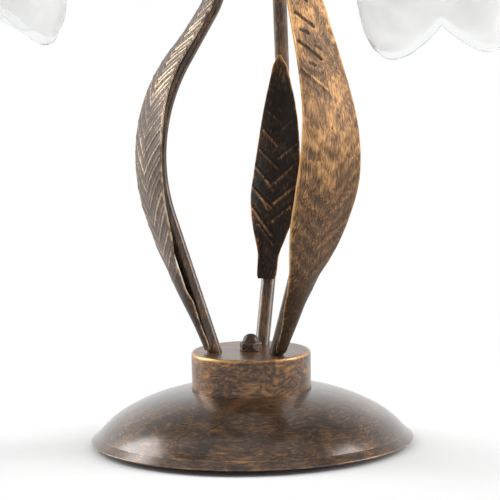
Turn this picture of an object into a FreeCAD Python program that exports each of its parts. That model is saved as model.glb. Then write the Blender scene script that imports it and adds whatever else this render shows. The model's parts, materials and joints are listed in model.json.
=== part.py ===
"""Three-light table lamp with tulip shades, leaf-wrapped bent tube arms and a domed base.

The origin is on the floor under the middle of the base. +Z is up, -Y is the front, and one
arm leaves towards the back (+Y), the other two towards the front left and front right.
Each arm and its head are laid out in a frame of their own: +X away from the lamp's axis.
"""
import FreeCAD, Part
import Sketcher
import math
import os

Vector = FreeCAD.Vector
Rotation = FreeCAD.Rotation
Placement = FreeCAD.Placement
UP = Vector(0, 0, 1)
FULL_TURN = 360
TINY = 1e-6

doc = FreeCAD.newDocument("TulipLamp")
sheet = doc.addObject("Spreadsheet::Sheet", "Sheet")

DIMENSIONS = [
    # foot
    ("pad_inset", 2.0, "from the edge of the ballast in to its foam pad"),
    ("pad_thick", 3.0, ""),
    ("ballast_inset", 17.5, "from the dish's rim in to the cast disc that keeps the lamp upright"),
    ("ballast_thick", 14.0, ""),
    ("ballast_edge", 2.0, "chamfer on the ballast's upper edge"),
    ("recess_radius", 15.0, "counterbore for the bottom nut"),
    ("recess_depth", 8.0, ""),
    # domed dish
    ("rim_gap", 4.0, "height of the dish's rim above the floor"),
    ("dish_radius", 112.5, ""),
    ("rim_lip", 0.9, "upright edge of the rim"),
    ("dish_top", 40.0, "height of the flat on which the drum stands"),
    ("hub_margin", 2.4, "flat left round the drum"),
    ("knee_inset", 24.5, "from the rim in to where the gentle dome meets the rounded shoulder"),
    ("knee_height", 25.3, ""),
    ("hem_inset", 5.3, "from the rim in to where the shoulder meets the flare"),
    ("hem_height", 9.5, ""),
    ("dome_curve", 130.0, "radius of the dome's arc"),
    ("shoulder_curve", 66.0, "radius of the shoulder's arc"),
    ("dish_wall", 1.2, ""),
    ("wire_hole_radius", 6.0, "hole in the dish for the leads"),
    ("wire_hole_reach", 22.0, ""),
    ("inlet_height", 10.0, "cord inlet at the back of the dish"),
    ("inlet_bore", 3.25, ""),
    ("inlet_sleeve", 4.4, "outer radius of the inlet's bush"),
    ("inlet_flange", 6.2, ""),
    ("inlet_flange_thick", 2.0, ""),
    ("inlet_gap", 2.0, "between the ballast and the bush"),
    ("inlet_recess", 1.5, "from the rim in to the bush's outer end"),
    # drum
    ("drum_radius", 41.6, ""),
    ("drum_height", 26.4, ""),
    ("drum_wall", 1.5, ""),
    ("drum_edge", 2.0, "rounding of the drum's top edge"),
    ("plate_gap", 2.1, "between the drum's wall and the inner plate that holds the arms' feet"),
    ("plate_thick", 2.5, ""),
    ("plate_lift", 10.0, "height of that plate above the dish"),
    # rod and its hardware
    ("rod_radius", 5.0, "threaded tube through drum, dish and ballast"),
    ("rod_bore", 3.25, ""),
    ("rod_tail", 1.0, "how far the rod sticks out under the bottom nut"),
    ("hole_clearance", 0.2, "radial clearance of a hole round the rod or a tube"),
    ("spacer_radius", 8.0, ""),
    ("washer_radius", 10.0, ""),
    ("washer_thick", 1.2, ""),
    ("cap_washer_radius", 7.8, "washer under the cap nut"),
    ("nut_flats", 14.0, "width across flats"),
    ("nut_height", 4.0, ""),
    ("cap_flats", 14.0, "width across flats of the domed cap nut"),
    ("cap_hex_height", 4.8, ""),
    ("cap_dome_radius", 5.8, ""),
    ("cap_rod_depth", 6.0, "how far the rod enters the cap nut"),
    ("cap_bevel", 0.9, "corners turned off the cap nut"),
    ("cap_shoulder", 1.2, ""),
    ("cap_dome_root", 1.0, "how far the dome reaches into the hexagon"),
    # terminal block and earth screw on the ballast
    ("block_length", 24.0, ""),
    ("block_width", 14.0, ""),
    ("block_height", 11.0, ""),
    ("block_reach", 52.0, "distance of the block from the axis"),
    ("block_ways", 3, "number of connector ways"),
    ("block_bore", 1.9, ""),
    ("block_screw_radius", 1.6, ""),
    ("block_screw_length", 5.0, ""),
    ("block_screw_sink", 0.5, "how far the screws lie below the top"),
    ("block_way_height", 3.7, "height of the wire ways"),
    ("earth_radius", 2.0, ""),
    ("earth_head", 3.6, ""),
    ("earth_length", 8.0, ""),
    ("earth_head_thick", 2.0, ""),
    # arms
    ("tube_radius", 5.0, ""),
    ("tube_wall", 1.0, ""),
    ("lead_radius", 1.5, "insulated lead inside each tube"),
    ("foot_reach", 24.0, "distance of the tubes' feet from the axis"),
    ("foot_length", 7.0, "how far a foot reaches under the inner plate"),
    ("foot_bend_height", 61.0, ""),
    ("foot_bend", 25.0, "bend radii, along the arm"),
    ("waist_bend", 60.0, ""),
    ("crown_bend", 48.0, ""),
    ("head_bend", 34.0, ""),
    ("crown_span", 80.0, "length of the arch above the head"),
    ("crown_side", 0.6, "share of the head's sideways lean met at the arch's start"),
    ("end_run", 57.0, "straight drop from the arch to the lampholder"),
    ("tube_end_gap", 0.3, "between the tube's end and its seat in the lampholder"),
    ("lead_tail", 2.0, "how far a lead hangs out of its tube"),
    # large and small leaves
    ("leaf_width", 58.0, "large leaf"),
    ("leaf_start", 4.0, "length of tube from drum to the leaf's lower end"),
    ("leaf_length", 300.0, "length along the tube"),
    ("leaf_belly", 12.7, "largest distance from the tube's centre line"),
    ("small_leaf_width", 35.0, ""),
    ("small_leaf_start", 46.0, ""),
    ("small_leaf_length", 156.0, ""),
    ("small_leaf_belly", 7.0, ""),
    ("leaf_thick", 1.1, ""),
    ("leaf_bow", 160.0, "radius of the leaf's crosswise curve"),
    ("leaf_seat", 0.1, "gap of a leaf's end to the tube"),
    # head, from the petals' tips upwards
    ("shade_height", 108.0, ""),
    ("shade_wall", 2.4, ""),
    ("shade_top_thick", 3.0, ""),
    ("shade_hole_gap", 0.6, "between the glass and the lampholder"),
    ("shade_neck", 27.0, "outer radius at the top"),
    ("belly_height", 40.0, "height of the widest section above the tips"),
    ("belly_offset", 21.0, "distance of a lobe's centre from the shade's axis"),
    ("belly_lobe", 37.0, "radius of a lobe"),
    ("mouth_offset", 19.0, ""),
    ("mouth_lobe", 29.0, ""),
    ("lip_taper", 2.2, "how much smaller a lobe is half way down from the belly"),
    ("notch_height", 22.5, "depth of the notch between two petals"),
    ("holder_radius", 14.0, "lampholder"),
    ("holder_drop", 24.0, "how far it reaches below the top of the glass"),
    ("holder_rise", 37.0, "how far it reaches above the top of the glass"),
    ("holder_flange", 4.0, "width of the flange that rests on the glass"),
    ("holder_flange_thick", 3.0, ""),
    ("holder_taper", 4.0, "tapered top of the lampholder"),
    ("holder_taper_length", 8.0, ""),
    ("holder_bore_depth", 28.0, ""),
    ("tube_socket_depth", 8.0, "how far the tube enters the lampholder"),
    ("shell_wall", 0.4, "brass screw shell in the lampholder"),
    ("shell_length", 20.0, ""),
    ("shell_lift", 4.0, ""),
    ("contact_radius", 3.0, ""),
    ("contact_thick", 1.8, ""),
    ("contact_gap", 0.3, "between the bulb's tip and the contact"),
    ("ring_width", 6.0, "ring that clamps the shade"),
    ("ring_height", 6.0, ""),
    ("ring_gap", 0.3, "play between ring and glass"),
    ("running_fit", 0.05, "radial play of ring and bulb"),
    ("ring_grips", 12, "number of finger scallops round the ring"),
    ("ring_grip_radius", 1.4, ""),
    ("ring_grip_height", 3.6, ""),
    ("cup_radius", 25.5, "metal cup over the lampholder"),
    ("cup_room", 7.0, "height of the cup above the lampholder"),
    ("cup_top", 8.5, "radius of the flat at its top"),
    ("cup_curve", 48.0, ""),
    ("cup_skirt", 3.0, "straight lower edge of the cup"),
    ("cup_wall", 1.0, ""),
    ("collar_radius", 7.6, "collar nut on top of the cup"),
    ("collar_height", 5.0, ""),
    ("cap_radius", 7.0, "bulb"),
    ("cap_drop", 26.0, "from the top of the glass down to where bulb and cap meet"),
    ("tip_radius", 2.5, ""),
    ("tip_length", 0.9, ""),
    ("globe_radius", 22.5, ""),
    ("globe_drop", 54.0, "from the top of the glass down to the globe's middle"),
    ("globe_neck", 8.6, ""),
    ("globe_neck_length", 4.0, ""),
    ("globe_shoulder", 40.0, "angle at which the globe turns into its neck, degrees"),
    # places of the arms, bent by hand, so that no two are quite alike
    ("left_azimuth", 210.0, "degrees from +X"),
    ("right_azimuth", 330.0, ""),
    ("back_azimuth", 90.0, ""),
    ("left_bulge", 73.8, "corner of the lower bend: distance and height"),
    ("left_bulge_height", 219.7, ""),
    ("left_bulge_bend", 132.8, ""),
    ("left_waist", 6.2, "corner of the upper bend"),
    ("left_waist_height", 333.0, ""),
    ("left_reach", 178.0, "middle of the shade's mouth"),
    ("left_mouth", 289.0, ""),
    ("left_tilt_out", 0.0, "lean of the head, degrees"),
    ("left_tilt_side", 4.0, ""),
    ("left_turn", 5.0, "turn of the shade about its axis, degrees"),
    ("left_leaf_turn", 7.0, "turn of the leaf round its tube, degrees"),
    ("right_bulge", 80.6, ""),
    ("right_bulge_height", 212.0, ""),
    ("right_bulge_bend", 112.0, ""),
    ("right_waist", 43.0, ""),
    ("right_waist_height", 335.0, ""),
    ("right_reach", 187.6, ""),
    ("right_mouth", 290.6, ""),
    ("right_tilt_out", 4.6, ""),
    ("right_tilt_side", -9.0, ""),
    ("right_turn", -42.0, ""),
    ("right_leaf_turn", 0.0, ""),
    ("back_bulge", 86.0, ""),
    ("back_bulge_height", 222.0, ""),
    ("back_bulge_bend", 200.0, ""),
    ("back_waist", 77.0, ""),
    ("back_waist_height", 345.0, ""),
    ("back_reach", 183.0, ""),
    ("back_mouth", 305.0, ""),
    ("back_tilt_out", 0.0, ""),
    ("back_tilt_side", 0.0, ""),
    ("back_turn", -42.0, ""),
    ("back_leaf_turn", 0.0, ""),
]

for row, (alias, size, note) in enumerate(DIMENSIONS, start=1):
    sheet.set("A%d" % row, alias)
    sheet.set("B%d" % row, str(size))
    sheet.set("C%d" % row, note)
    sheet.setAlias("B%d" % row, alias)
doc.recompute()


def size_of(expression):
    """The value of an expression over the sheet's names, or of a plain number."""
    if isinstance(expression, str):
        return float(sheet.evalExpression(named(expression)))
    return float(expression)


def named(expression):
    """Put the sheet's name before each of its aliases in an expression."""
    words = []
    word = ""
    for letter in expression + " ":
        if letter.isalnum() or letter == "_":
            word += letter
            continue
        words.append("Sheet." + word if word in ALIASES else word)
        words.append(letter)
        word = ""
    return "".join(words).strip()


ALIASES = {alias for alias, size, note in DIMENSIONS}


def bind(thing, prop, expression):
    """Drive one property of a document object by the sheet."""
    thing.setExpression(prop, named(expression))


# ---------------------------------------------------------------- document helpers

def origin_plane(body, role):
    """One of a body's own origin planes, found by its role."""
    for feature in body.Origin.OriginFeatures:
        if feature.Role == role:
            return feature
    raise ValueError(role)


def arc_middle(start, end, radius, side):
    """A point half way along the shorter arc of that radius."""
    chord = end - start
    half = chord.Length / 2
    across = Vector(-chord.y, chord.x, 0).normalize()
    centre = (start + end) * 0.5 + across * (side * math.sqrt(radius ** 2 - half ** 2))
    return centre - across * (side * radius)


def draw_outline(sketch, corners):
    """Draw a closed outline of lines and arcs, each corner and radius driven by the sheet.

    A corner is (x, y) or (x, y, radius, side): the last two make an arc to the next corner.
    """
    places = [Vector(size_of(corner[0]), size_of(corner[1]), 0) for corner in corners]
    edges = []
    for index, corner in enumerate(corners):
        start = places[index]
        end = places[(index + 1) % len(places)]
        if len(corner) == 2:
            edges.append((sketch.addGeometry(Part.LineSegment(start, end), False), 1, 2))
            continue
        middle = arc_middle(start, end, size_of(corner[2]), corner[3])
        edge = sketch.addGeometry(Part.Arc(start, middle, end), False)
        forward = (sketch.Geometry[edge].StartPoint - start).Length < TINY
        edges.append((edge, 1, 2) if forward else (edge, 2, 1))
    for index, corner in enumerate(corners):
        edge, head, tail = edges[index]
        following = edges[(index + 1) % len(edges)]
        sketch.addConstraint(Sketcher.Constraint("Coincident", edge, tail, following[0], following[1]))
        pins = [("DistanceX", corner[0], places[index].x), ("DistanceY", corner[1], places[index].y)]
        for kind, expression, place in pins:
            pin = sketch.addConstraint(Sketcher.Constraint(kind, -1, 1, edge, head, place))
            if isinstance(expression, str):
                bind(sketch, "Constraints[%d]" % pin, expression)
        if len(corner) > 2:
            pin = sketch.addConstraint(Sketcher.Constraint("Radius", edge, size_of(corner[2])))
            if isinstance(corner[2], str):
                bind(sketch, "Constraints[%d]" % pin, corner[2])


def new_body(name):
    body = doc.addObject("PartDesign::Body", name)
    body.Label = name
    return body


def new_sketch(body, name, role):
    sketch = body.newObject("Sketcher::SketchObject", name)
    sketch.AttachmentSupport = (origin_plane(body, role), [""])
    sketch.MapMode = "FlatFace"
    return sketch


def turned(body, corners, step="turned"):
    """Revolve an outline of radius and height about the body's own Z axis."""
    sketch = new_sketch(body, body.Label + "_outline", "XZ_Plane")
    draw_outline(sketch, corners)
    doc.recompute()
    feature = body.newObject("PartDesign::Revolution", body.Label + "_" + step)
    feature.Profile = sketch
    feature.ReferenceAxis = (sketch, ["V_Axis"])
    feature.Angle = FULL_TURN
    body.Tip = feature
    doc.recompute()
    return feature


def faces_at(feature, height):
    """Names of a feature's flat faces at one height."""
    found = []
    for index, face in enumerate(feature.Shape.Faces, start=1):
        low = min(vertex.Z for vertex in face.Vertexes)
        high = max(vertex.Z for vertex in face.Vertexes)
        if abs(low - height) < TINY and abs(high - height) < TINY:
            found.append("Face%d" % index)
    return found


def hollowed(body, feature, open_height, wall):
    """Hollow a solid to one wall thickness, open at the face at that height."""
    shell = body.newObject("PartDesign::Thickness", body.Label + "_wall")
    shell.Base = (feature, faces_at(feature, size_of(open_height)))
    shell.Reversed = True
    bind(shell, "Value", wall)
    body.Tip = shell
    doc.recompute()
    return shell


def draw_circle(sketch, x, y, radius):
    """Draw a circle whose centre and radius are driven by the sheet."""
    place = Vector(size_of(x), size_of(y), 0)
    circle = sketch.addGeometry(Part.Circle(place, UP, size_of(radius)), False)
    for kind, expression, value in (("DistanceX", x, place.x), ("DistanceY", y, place.y)):
        pin = sketch.addConstraint(Sketcher.Constraint(kind, -1, 1, circle, 3, value))
        if isinstance(expression, str):
            bind(sketch, "Constraints[%d]" % pin, expression)
    pin = sketch.addConstraint(Sketcher.Constraint("Radius", circle, size_of(radius)))
    bind(sketch, "Constraints[%d]" % pin, radius)


def drilled(body, name, places, height, through_up=True):
    """Bore round holes of (x, y, radius) up or down from a plane at that height."""
    sketch = new_sketch(body, body.Label + "_" + name + "_plan", "XY_Plane")
    bind(sketch, "AttachmentOffset.Base.z", height)
    for x, y, radius in places:
        draw_circle(sketch, x, y, radius)
    doc.recompute()
    pocket = body.newObject("PartDesign::Pocket", body.Label + "_" + name)
    pocket.Profile = sketch
    pocket.Type = 1
    pocket.Reversed = through_up
    body.Tip = pocket
    doc.recompute()
    return pocket


def cylinder(name, radius, height, low="0", x="0", y="0"):
    """An upright cylinder whose sizes and place are driven by the sheet."""
    made = doc.addObject("Part::Cylinder", name)
    bind(made, "Radius", radius)
    bind(made, "Height", height)
    bind(made, "Placement.Base.x", x)
    bind(made, "Placement.Base.y", y)
    bind(made, "Placement.Base.z", low)
    return made


def prism(name, flats, height, low="0", x="0", y="0"):
    """An upright hexagonal prism given by its width across flats."""
    made = doc.addObject("Part::Prism", name)
    made.Polygon = 6
    bind(made, "Circumradius", "(%s) / 2 / cos(30)" % flats)
    bind(made, "Height", height)
    bind(made, "Placement.Base.x", x)
    bind(made, "Placement.Base.y", y)
    bind(made, "Placement.Base.z", low)
    return made


def cut(name, base, tool):
    made = doc.addObject("Part::Cut", name)
    made.Base = base
    made.Tool = tool
    return made


def fuse(name, pieces):
    made = doc.addObject("Part::MultiFuse", name)
    made.Shapes = pieces
    return made


def group(name, pieces):
    """Several like solids kept as one node."""
    made = doc.addObject("Part::Compound", name)
    made.Links = pieces
    return made


def feature_of(name, shape, placement=None):
    made = doc.addObject("Part::Feature", name)
    made.Shape = shape
    if placement is not None:
        made.Placement = placement
    return made


def tube_piece(name, outer, inner, height, low="0", x="0", y="0"):
    """A plain ring, washer or sleeve."""
    body = cylinder(name + "_outside", outer, height, low, x, y)
    bore = cylinder(name + "_bore", inner, height, low, x, y)
    return cut(name, body, bore)


def hex_nut(name, flats, height, low, bore, x="0", y="0"):
    body = prism(name + "_hexagon", flats, height, low, x, y)
    hole = cylinder(name + "_bore", bore, height, low, x, y)
    return cut(name, body, hole)


nodes = []


def keep(piece, name=None):
    """Make a finished piece one of the lamp's nodes."""
    if name:
        piece.Label = name
    nodes.append(piece)
    return piece


# ---------------------------------------------------------------- foot

BALLAST_RADIUS = "(dish_radius - ballast_inset)"


def make_pad():
    keep(cylinder("foam_pad", BALLAST_RADIUS + " - pad_inset", "pad_thick"))


def make_ballast():
    body = new_body("ballast_disc")
    top = "pad_thick + ballast_thick"
    bore = "rod_radius + hole_clearance"
    turned(body, [
        (bore, "pad_thick + recess_depth"),
        ("recess_radius", "pad_thick + recess_depth"),
        ("recess_radius", "pad_thick"),
        (BALLAST_RADIUS, "pad_thick"),
        (BALLAST_RADIUS, top + " - ballast_edge"),
        (BALLAST_RADIUS + " - ballast_edge", top),
        (bore, top),
    ])
    keep(body)


def make_dish():
    body = new_body("base_dish_shell")
    dome = turned(body, [
        (0, "rim_gap"),
        ("dish_radius", "rim_gap"),
        ("dish_radius", "rim_gap + rim_lip"),
        ("dish_radius - hem_inset", "hem_height", "shoulder_curve", 1),
        ("dish_radius - knee_inset", "knee_height", "dome_curve", 1),
        ("drum_radius + hub_margin", "dish_top"),
        (0, "dish_top"),
    ])
    hollowed(body, dome, "rim_gap", "dish_wall")
    drilled(body, "holes", [
        (0, 0, "rod_radius + hole_clearance"),
        (0, "-wire_hole_reach", "wire_hole_radius"),
    ], "rim_gap")
    bore = doc.addObject("Part::Cylinder", "inlet_hole")
    bore.Placement = Placement(Vector(0, 0, 0), Rotation(Vector(1, 0, 0), -90))
    bind(bore, "Radius", "inlet_sleeve + hole_clearance")
    bind(bore, "Height", "dish_radius")
    bind(bore, "Placement.Base.y", BALLAST_RADIUS)
    bind(bore, "Placement.Base.z", "inlet_height")
    keep(cut("base_dish", body, bore))


def make_inlet():
    """Flanged rubber bush in the dish's back wall, where the supply cord would enter."""
    body = new_body("cord_inlet_bush")
    inner_end = BALLAST_RADIUS + " + inlet_gap"
    outer_end = "dish_radius - inlet_recess"
    turned(body, [
        ("inlet_bore", inner_end),
        ("inlet_flange", inner_end),
        ("inlet_flange", inner_end + " + inlet_flange_thick"),
        ("inlet_sleeve", inner_end + " + inlet_flange_thick"),
        ("inlet_sleeve", outer_end),
        ("inlet_bore", outer_end),
    ])
    body.Placement = Placement(Vector(0, 0, size_of("inlet_height")), Rotation(Vector(1, 0, 0), -90))
    keep(body)


def polar(index, count, reach):
    """Names and places of one of several points on a circle, as expressions."""
    angle = FULL_TURN * index / count
    return "%s * cos(%r)" % (reach, angle), "%s * sin(%r)" % (reach, angle)


def make_drum():
    body = new_body("drum_cup_shell")
    outline = new_sketch(body, "drum_plan", "XY_Plane")
    bind(outline, "AttachmentOffset.Base.z", "dish_top")
    draw_circle(outline, 0, 0, "drum_radius")
    doc.recompute()
    pad = body.newObject("PartDesign::Pad", "drum_block")
    pad.Profile = outline
    bind(pad, "Length", "drum_height")
    body.Tip = pad
    doc.recompute()
    top = size_of("dish_top + drum_height")
    rim = []
    for index, edge in enumerate(pad.Shape.Edges, start=1):
        if all(abs(vertex.Z - top) < TINY for vertex in edge.Vertexes):
            rim.append("Edge%d" % index)
    rounding = body.newObject("PartDesign::Fillet", "drum_rounding")
    rounding.Base = (pad, rim)
    bind(rounding, "Radius", "drum_edge")
    body.Tip = rounding
    doc.recompute()
    hollowed(body, rounding, "dish_top", "drum_wall")
    drilled(body, "rod_hole", [(0, 0, "rod_radius + hole_clearance")], "dish_top")
    return body


def make_plate():
    """Inner plate with a hole for the rod and one for each arm's threaded foot."""
    low = "dish_top + plate_lift"
    disc = cylinder("arm_plate_disc", "drum_radius - drum_wall - plate_gap", "plate_thick", low)
    tools = [cylinder("arm_plate_rod_hole", "rod_radius + hole_clearance", "plate_thick", low)]
    for arm in ARMS:
        x, y = foot_place(arm)
        hole = "tube_radius + hole_clearance"
        tools.append(cylinder("arm_plate_hole_" + arm, hole, "plate_thick", low, x, y))
    keep(cut("arm_plate", disc, fuse("arm_plate_holes", tools)), "arm_plate")


def make_rod_stack():
    """Threaded tube, spacers, washers and nuts on the lamp's axis."""
    drum_top = "dish_top + drum_height"
    nut_low = "pad_thick + recess_depth - washer_thick - nut_height"
    bottom = nut_low + " - rod_tail"
    keep(tube_piece("centre_rod", "rod_radius", "rod_bore",
                    "%s + washer_thick + cap_rod_depth - (%s)" % (drum_top, bottom), bottom))
    bore = "rod_radius + hole_clearance"
    low = "pad_thick + ballast_thick"
    keep(tube_piece("foot_spacer", "spacer_radius", bore, "dish_top - dish_wall - (%s)" % low, low))
    keep(tube_piece("lower_spacer", "spacer_radius", bore, "plate_lift", "dish_top"))
    low = "dish_top + plate_lift + plate_thick"
    keep(tube_piece("upper_spacer", "spacer_radius", bore, "%s - drum_wall - (%s)" % (drum_top, low), low))
    keep(tube_piece("foot_washer", "washer_radius", bore, "washer_thick",
                    "pad_thick + recess_depth - washer_thick"))
    keep(hex_nut("foot_nut", "nut_flats", "nut_height", nut_low, "rod_radius"))
    keep(tube_piece("cap_washer", "cap_washer_radius", bore, "washer_thick", drum_top))


def make_cap_nut():
    """Domed cap nut: a hexagon with its corners turned off, under a turned dome."""
    low = "dish_top + drum_height + washer_thick"
    hexagon = prism("cap_hexagon", "cap_flats", "cap_hex_height", low)
    body = new_body("cap_turning")
    corner = "cap_flats / 2 / cos(30)"
    dome_low = low + " + cap_hex_height"
    turned(body, [
        (0, low),
        (corner + " - cap_bevel", low),
        (corner, low + " + cap_bevel"),
        (corner, dome_low + " - cap_bevel"),
        (corner + " - cap_shoulder", dome_low),
        (0, dome_low),
    ])
    shaped = doc.addObject("Part::Common", "cap_hexagon_turned")
    shaped.Base = hexagon
    shaped.Tool = body
    dome = new_body("cap_dome")
    turned(dome, [
        (0, dome_low + " - cap_dome_root"),
        ("cap_dome_radius", dome_low + " - cap_dome_root"),
        ("cap_dome_radius", dome_low, "cap_dome_radius", 1),
        (0, dome_low + " + cap_dome_radius"),
    ])
    blind = cylinder("cap_blind_hole", "rod_radius", "cap_rod_depth", low)
    keep(cut("cap_nut", fuse("cap_nut_solid", [shaped, dome]), blind), "cap_nut")


def make_terminal_block():
    """Three-way connector and earth screw on top of the ballast."""
    top = "pad_thick + ballast_thick"
    block = doc.addObject("Part::Box", "block_body")
    bind(block, "Length", "block_length")
    bind(block, "Width", "block_width")
    bind(block, "Height", "block_height")
    bind(block, "Placement.Base.x", "-block_length / 2")
    bind(block, "Placement.Base.y", "-block_reach - block_width / 2")
    bind(block, "Placement.Base.z", top)
    ways = int(size_of("block_ways"))
    tools = []
    screws = []
    for way in range(ways):
        x = "block_length * %r" % ((way + 0.5) / ways - 0.5)
        bore = doc.addObject("Part::Cylinder", "block_way_%d" % way)
        bore.Placement = Placement(Vector(0, 0, 0), Rotation(Vector(1, 0, 0), 90))
        bind(bore, "Radius", "block_bore")
        bind(bore, "Height", "block_width")
        bind(bore, "Placement.Base.x", x)
        bind(bore, "Placement.Base.y", "-block_reach + block_width / 2")
        bind(bore, "Placement.Base.z", top + " + block_way_height")
        low = top + " + block_height - block_screw_length"
        tools.append(bore)
        tools.append(cylinder("block_well_%d" % way, "block_screw_radius", "block_screw_length", low, x,
                              "-block_reach"))
        screws.append(cylinder("block_screw_%d" % way, "block_screw_radius",
                               "block_screw_length - block_screw_sink", low, x, "-block_reach"))
    keep(cut("terminal_block", block, fuse("block_openings", tools)), "terminal_block")
    keep(group("terminal_screws", screws))
    shank = cylinder("earth_shank", "earth_radius", "earth_length", top, "block_reach")
    head = cylinder("earth_head_disc", "earth_head", "earth_head_thick", top + " + earth_length",
                    "block_reach")
    keep(fuse("earth_screw", [shank, head]), "earth_screw")


# ---------------------------------------------------------------- arms

ARMS = ("left", "right", "back")
# Heights in a head's frame.
HOLDER_LOW = "(shade_height - holder_drop)"
HOLDER_HIGH = "(shade_height + holder_rise)"
HOLDER_BORE = "(cap_radius + running_fit + shell_wall)"
BORE_TOP = "(shade_height - holder_drop + holder_bore_depth)"
CUP_TOP = "(shade_height + holder_rise + cup_room)"
CAP_LOW = "(shade_height - cap_drop)"


def of_arm(arm, name):
    return size_of(arm + "_" + name)


def foot_place(arm):
    reach = "foot_reach * %s(" + arm + "_azimuth)"
    return reach % "cos", reach % "sin"


def arm_frame(arm):
    """The frame of one arm: +X away from the axis, +Z up."""
    return Placement(Vector(0, 0, 0), Rotation(UP, of_arm(arm, "azimuth")))


def head_frame(arm):
    """The frame of one head: origin in the middle of the shade's mouth, +Z up its axis."""
    lean_out = math.tan(math.radians(of_arm(arm, "tilt_out")))
    lean_side = math.tan(math.radians(of_arm(arm, "tilt_side")))
    axis = Vector(lean_out, lean_side, 1).normalize()
    mouth = Vector(of_arm(arm, "reach"), 0, of_arm(arm, "mouth"))
    return arm_frame(arm) * Placement(mouth, Rotation(UP, axis))


def arm_corners(arm, low, end_height):
    """Corners and bend radii of the arm's centre line, from under the drum to the lampholder."""
    head = arm_frame(arm).inverse() * head_frame(arm)
    end = head.multVec(Vector(0, 0, end_height))
    arch = head.multVec(Vector(0, 0, tube_end_height() + size_of("end_run")))
    foot = size_of("foot_reach")
    crown = Vector(arch.x - size_of("crown_span"), arch.y * size_of("crown_side"), arch.z)
    return [
        (Vector(foot, 0, low), 0),
        (Vector(foot, 0, size_of("foot_bend_height")), size_of("foot_bend")),
        (Vector(of_arm(arm, "bulge"), 0, of_arm(arm, "bulge_height")), of_arm(arm, "bulge_bend")),
        (Vector(of_arm(arm, "waist"), 0, of_arm(arm, "waist_height")), size_of("waist_bend")),
        (crown, size_of("crown_bend")),
        (arch, size_of("head_bend")),
        (end, 0),
    ]


def tube_end_height():
    """Height of the tube's end in the head's frame."""
    return size_of(HOLDER_HIGH + " - tube_socket_depth + tube_end_gap")


def bent_line(corners):
    """Straight runs joined by tangent arcs, as a list of edges."""
    edges = []
    start = corners[0][0]
    for index in range(1, len(corners) - 1):
        corner, radius = corners[index]
        back = (corners[index - 1][0] - corner).normalize()
        ahead = (corners[index + 1][0] - corner).normalize()
        half_turn = (math.pi - back.getAngle(ahead)) / 2
        setback = radius * math.tan(half_turn)
        first = corner + back * setback
        last = corner + ahead * setback
        inward = (back + ahead).normalize()
        middle = corner + inward * (radius / math.cos(half_turn) - radius)
        edges.append(Part.LineSegment(start, first).toShape())
        edges.append(Part.Arc(first, middle, last).toShape())
        start = last
    edges.append(Part.LineSegment(start, corners[-1][0]).toShape())
    return edges


def round_bar(corners, radius):
    """A round bar of one radius along a bent line."""
    path = Part.Wire(bent_line(corners))
    start = corners[0][0]
    along = corners[1][0] - start
    section = Part.Wire(Part.makeCircle(radius, start, along))
    return path.makePipeShell([section], True, False)


def make_arms():
    low = size_of("dish_top + plate_lift - foot_length")
    lead_low = low - size_of("lead_tail")
    for arm in ARMS:
        outside = arm_corners(arm, low, tube_end_height())
        bore = size_of("tube_radius - tube_wall")
        tube = round_bar(outside, size_of("tube_radius")).cut(round_bar(outside, bore))
        keep(feature_of("arm_tube_" + arm, tube, arm_frame(arm)))
        inside = arm_corners(arm, lead_low, size_of(HOLDER_HIGH + " - tube_socket_depth"))
        keep(feature_of("lead_" + arm, round_bar(inside, size_of("lead_radius")), arm_frame(arm)))


def make_foot_nuts():
    """A nut under and a nut over the inner plate on each arm's foot."""
    plate = "dish_top + plate_lift"
    levels = {"foot_locknuts_lower": plate + " - nut_height", "foot_locknuts_upper": plate + " + plate_thick"}
    for name, low in levels.items():
        nuts = []
        for arm in ARMS:
            x, y = foot_place(arm)
            nuts.append(hex_nut(name + "_" + arm, "nut_flats", "nut_height", low, "tube_radius", x, y))
        keep(group(name, nuts))


def cut_tube_holes(drum):
    """Slanted holes in the drum's top, one for each tube."""
    tools = []
    for arm in ARMS:
        corners = arm_corners(arm, size_of("dish_top + plate_lift"), tube_end_height())
        tool = round_bar(corners, size_of("tube_radius + hole_clearance"))
        tools.append(feature_of("drum_tube_hole_" + arm, tool, arm_frame(arm)))
    keep(cut("drum_cup", drum, fuse("drum_tube_holes", tools)))


# ---------------------------------------------------------------- leaves

# Outline of a leaf: share of its length from the lower end, share of its full width.
LEAF_OUTLINE = [(0.0, 0.14), (0.012, 0.17), (0.035, 0.18), (0.077, 0.23), (0.119, 0.30), (0.162, 0.39),
                (0.203, 0.49), (0.245, 0.65), (0.289, 0.80), (0.34, 0.92), (0.39, 0.98), (0.43, 1.0),
                (0.52, 0.92), (0.60, 0.80), (0.68, 0.70), (0.76, 0.62), (0.84, 0.55), (0.90, 0.44),
                (0.95, 0.30), (0.985, 0.16), (1.0, 0.07)]
SMALL_LEAF_OUTLINE = [(0.0, 0.34), (0.02, 0.39), (0.10, 0.42), (0.20, 0.66), (0.30, 0.90), (0.40, 1.0),
                      (0.55, 0.93), (0.70, 0.80), (0.84, 0.60), (0.94, 0.36), (0.98, 0.22), (1.0, 0.11)]
# How far a leaf stands off its tube: share of its length, share of the full stand-off.
LEAF_STANDS = {
    "left": [(0.0, 0.0), (0.06, 0.2), (0.12, 0.56), (0.18, 0.88), (0.24, 0.92), (0.30, 0.74), (0.52, 0.64),
             (0.60, 0.6), (0.66, 0.5), (0.70, 0.34), (0.76, 0.1), (0.84, 0.0), (1.0, 0.0)],
    "right": [(0.0, 0.0), (0.06, 0.35), (0.12, 0.6), (0.162, 0.68), (0.203, 0.74), (0.245, 0.78),
              (0.30, 0.82), (0.55, 0.86), (0.66, 1.0), (0.84, 0.75), (0.93, 0.3), (1.0, 0.0)],
    "back": [(0.0, 0.0), (0.3, 1.0), (0.6, 1.0), (1.0, 0.0)],
}
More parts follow.
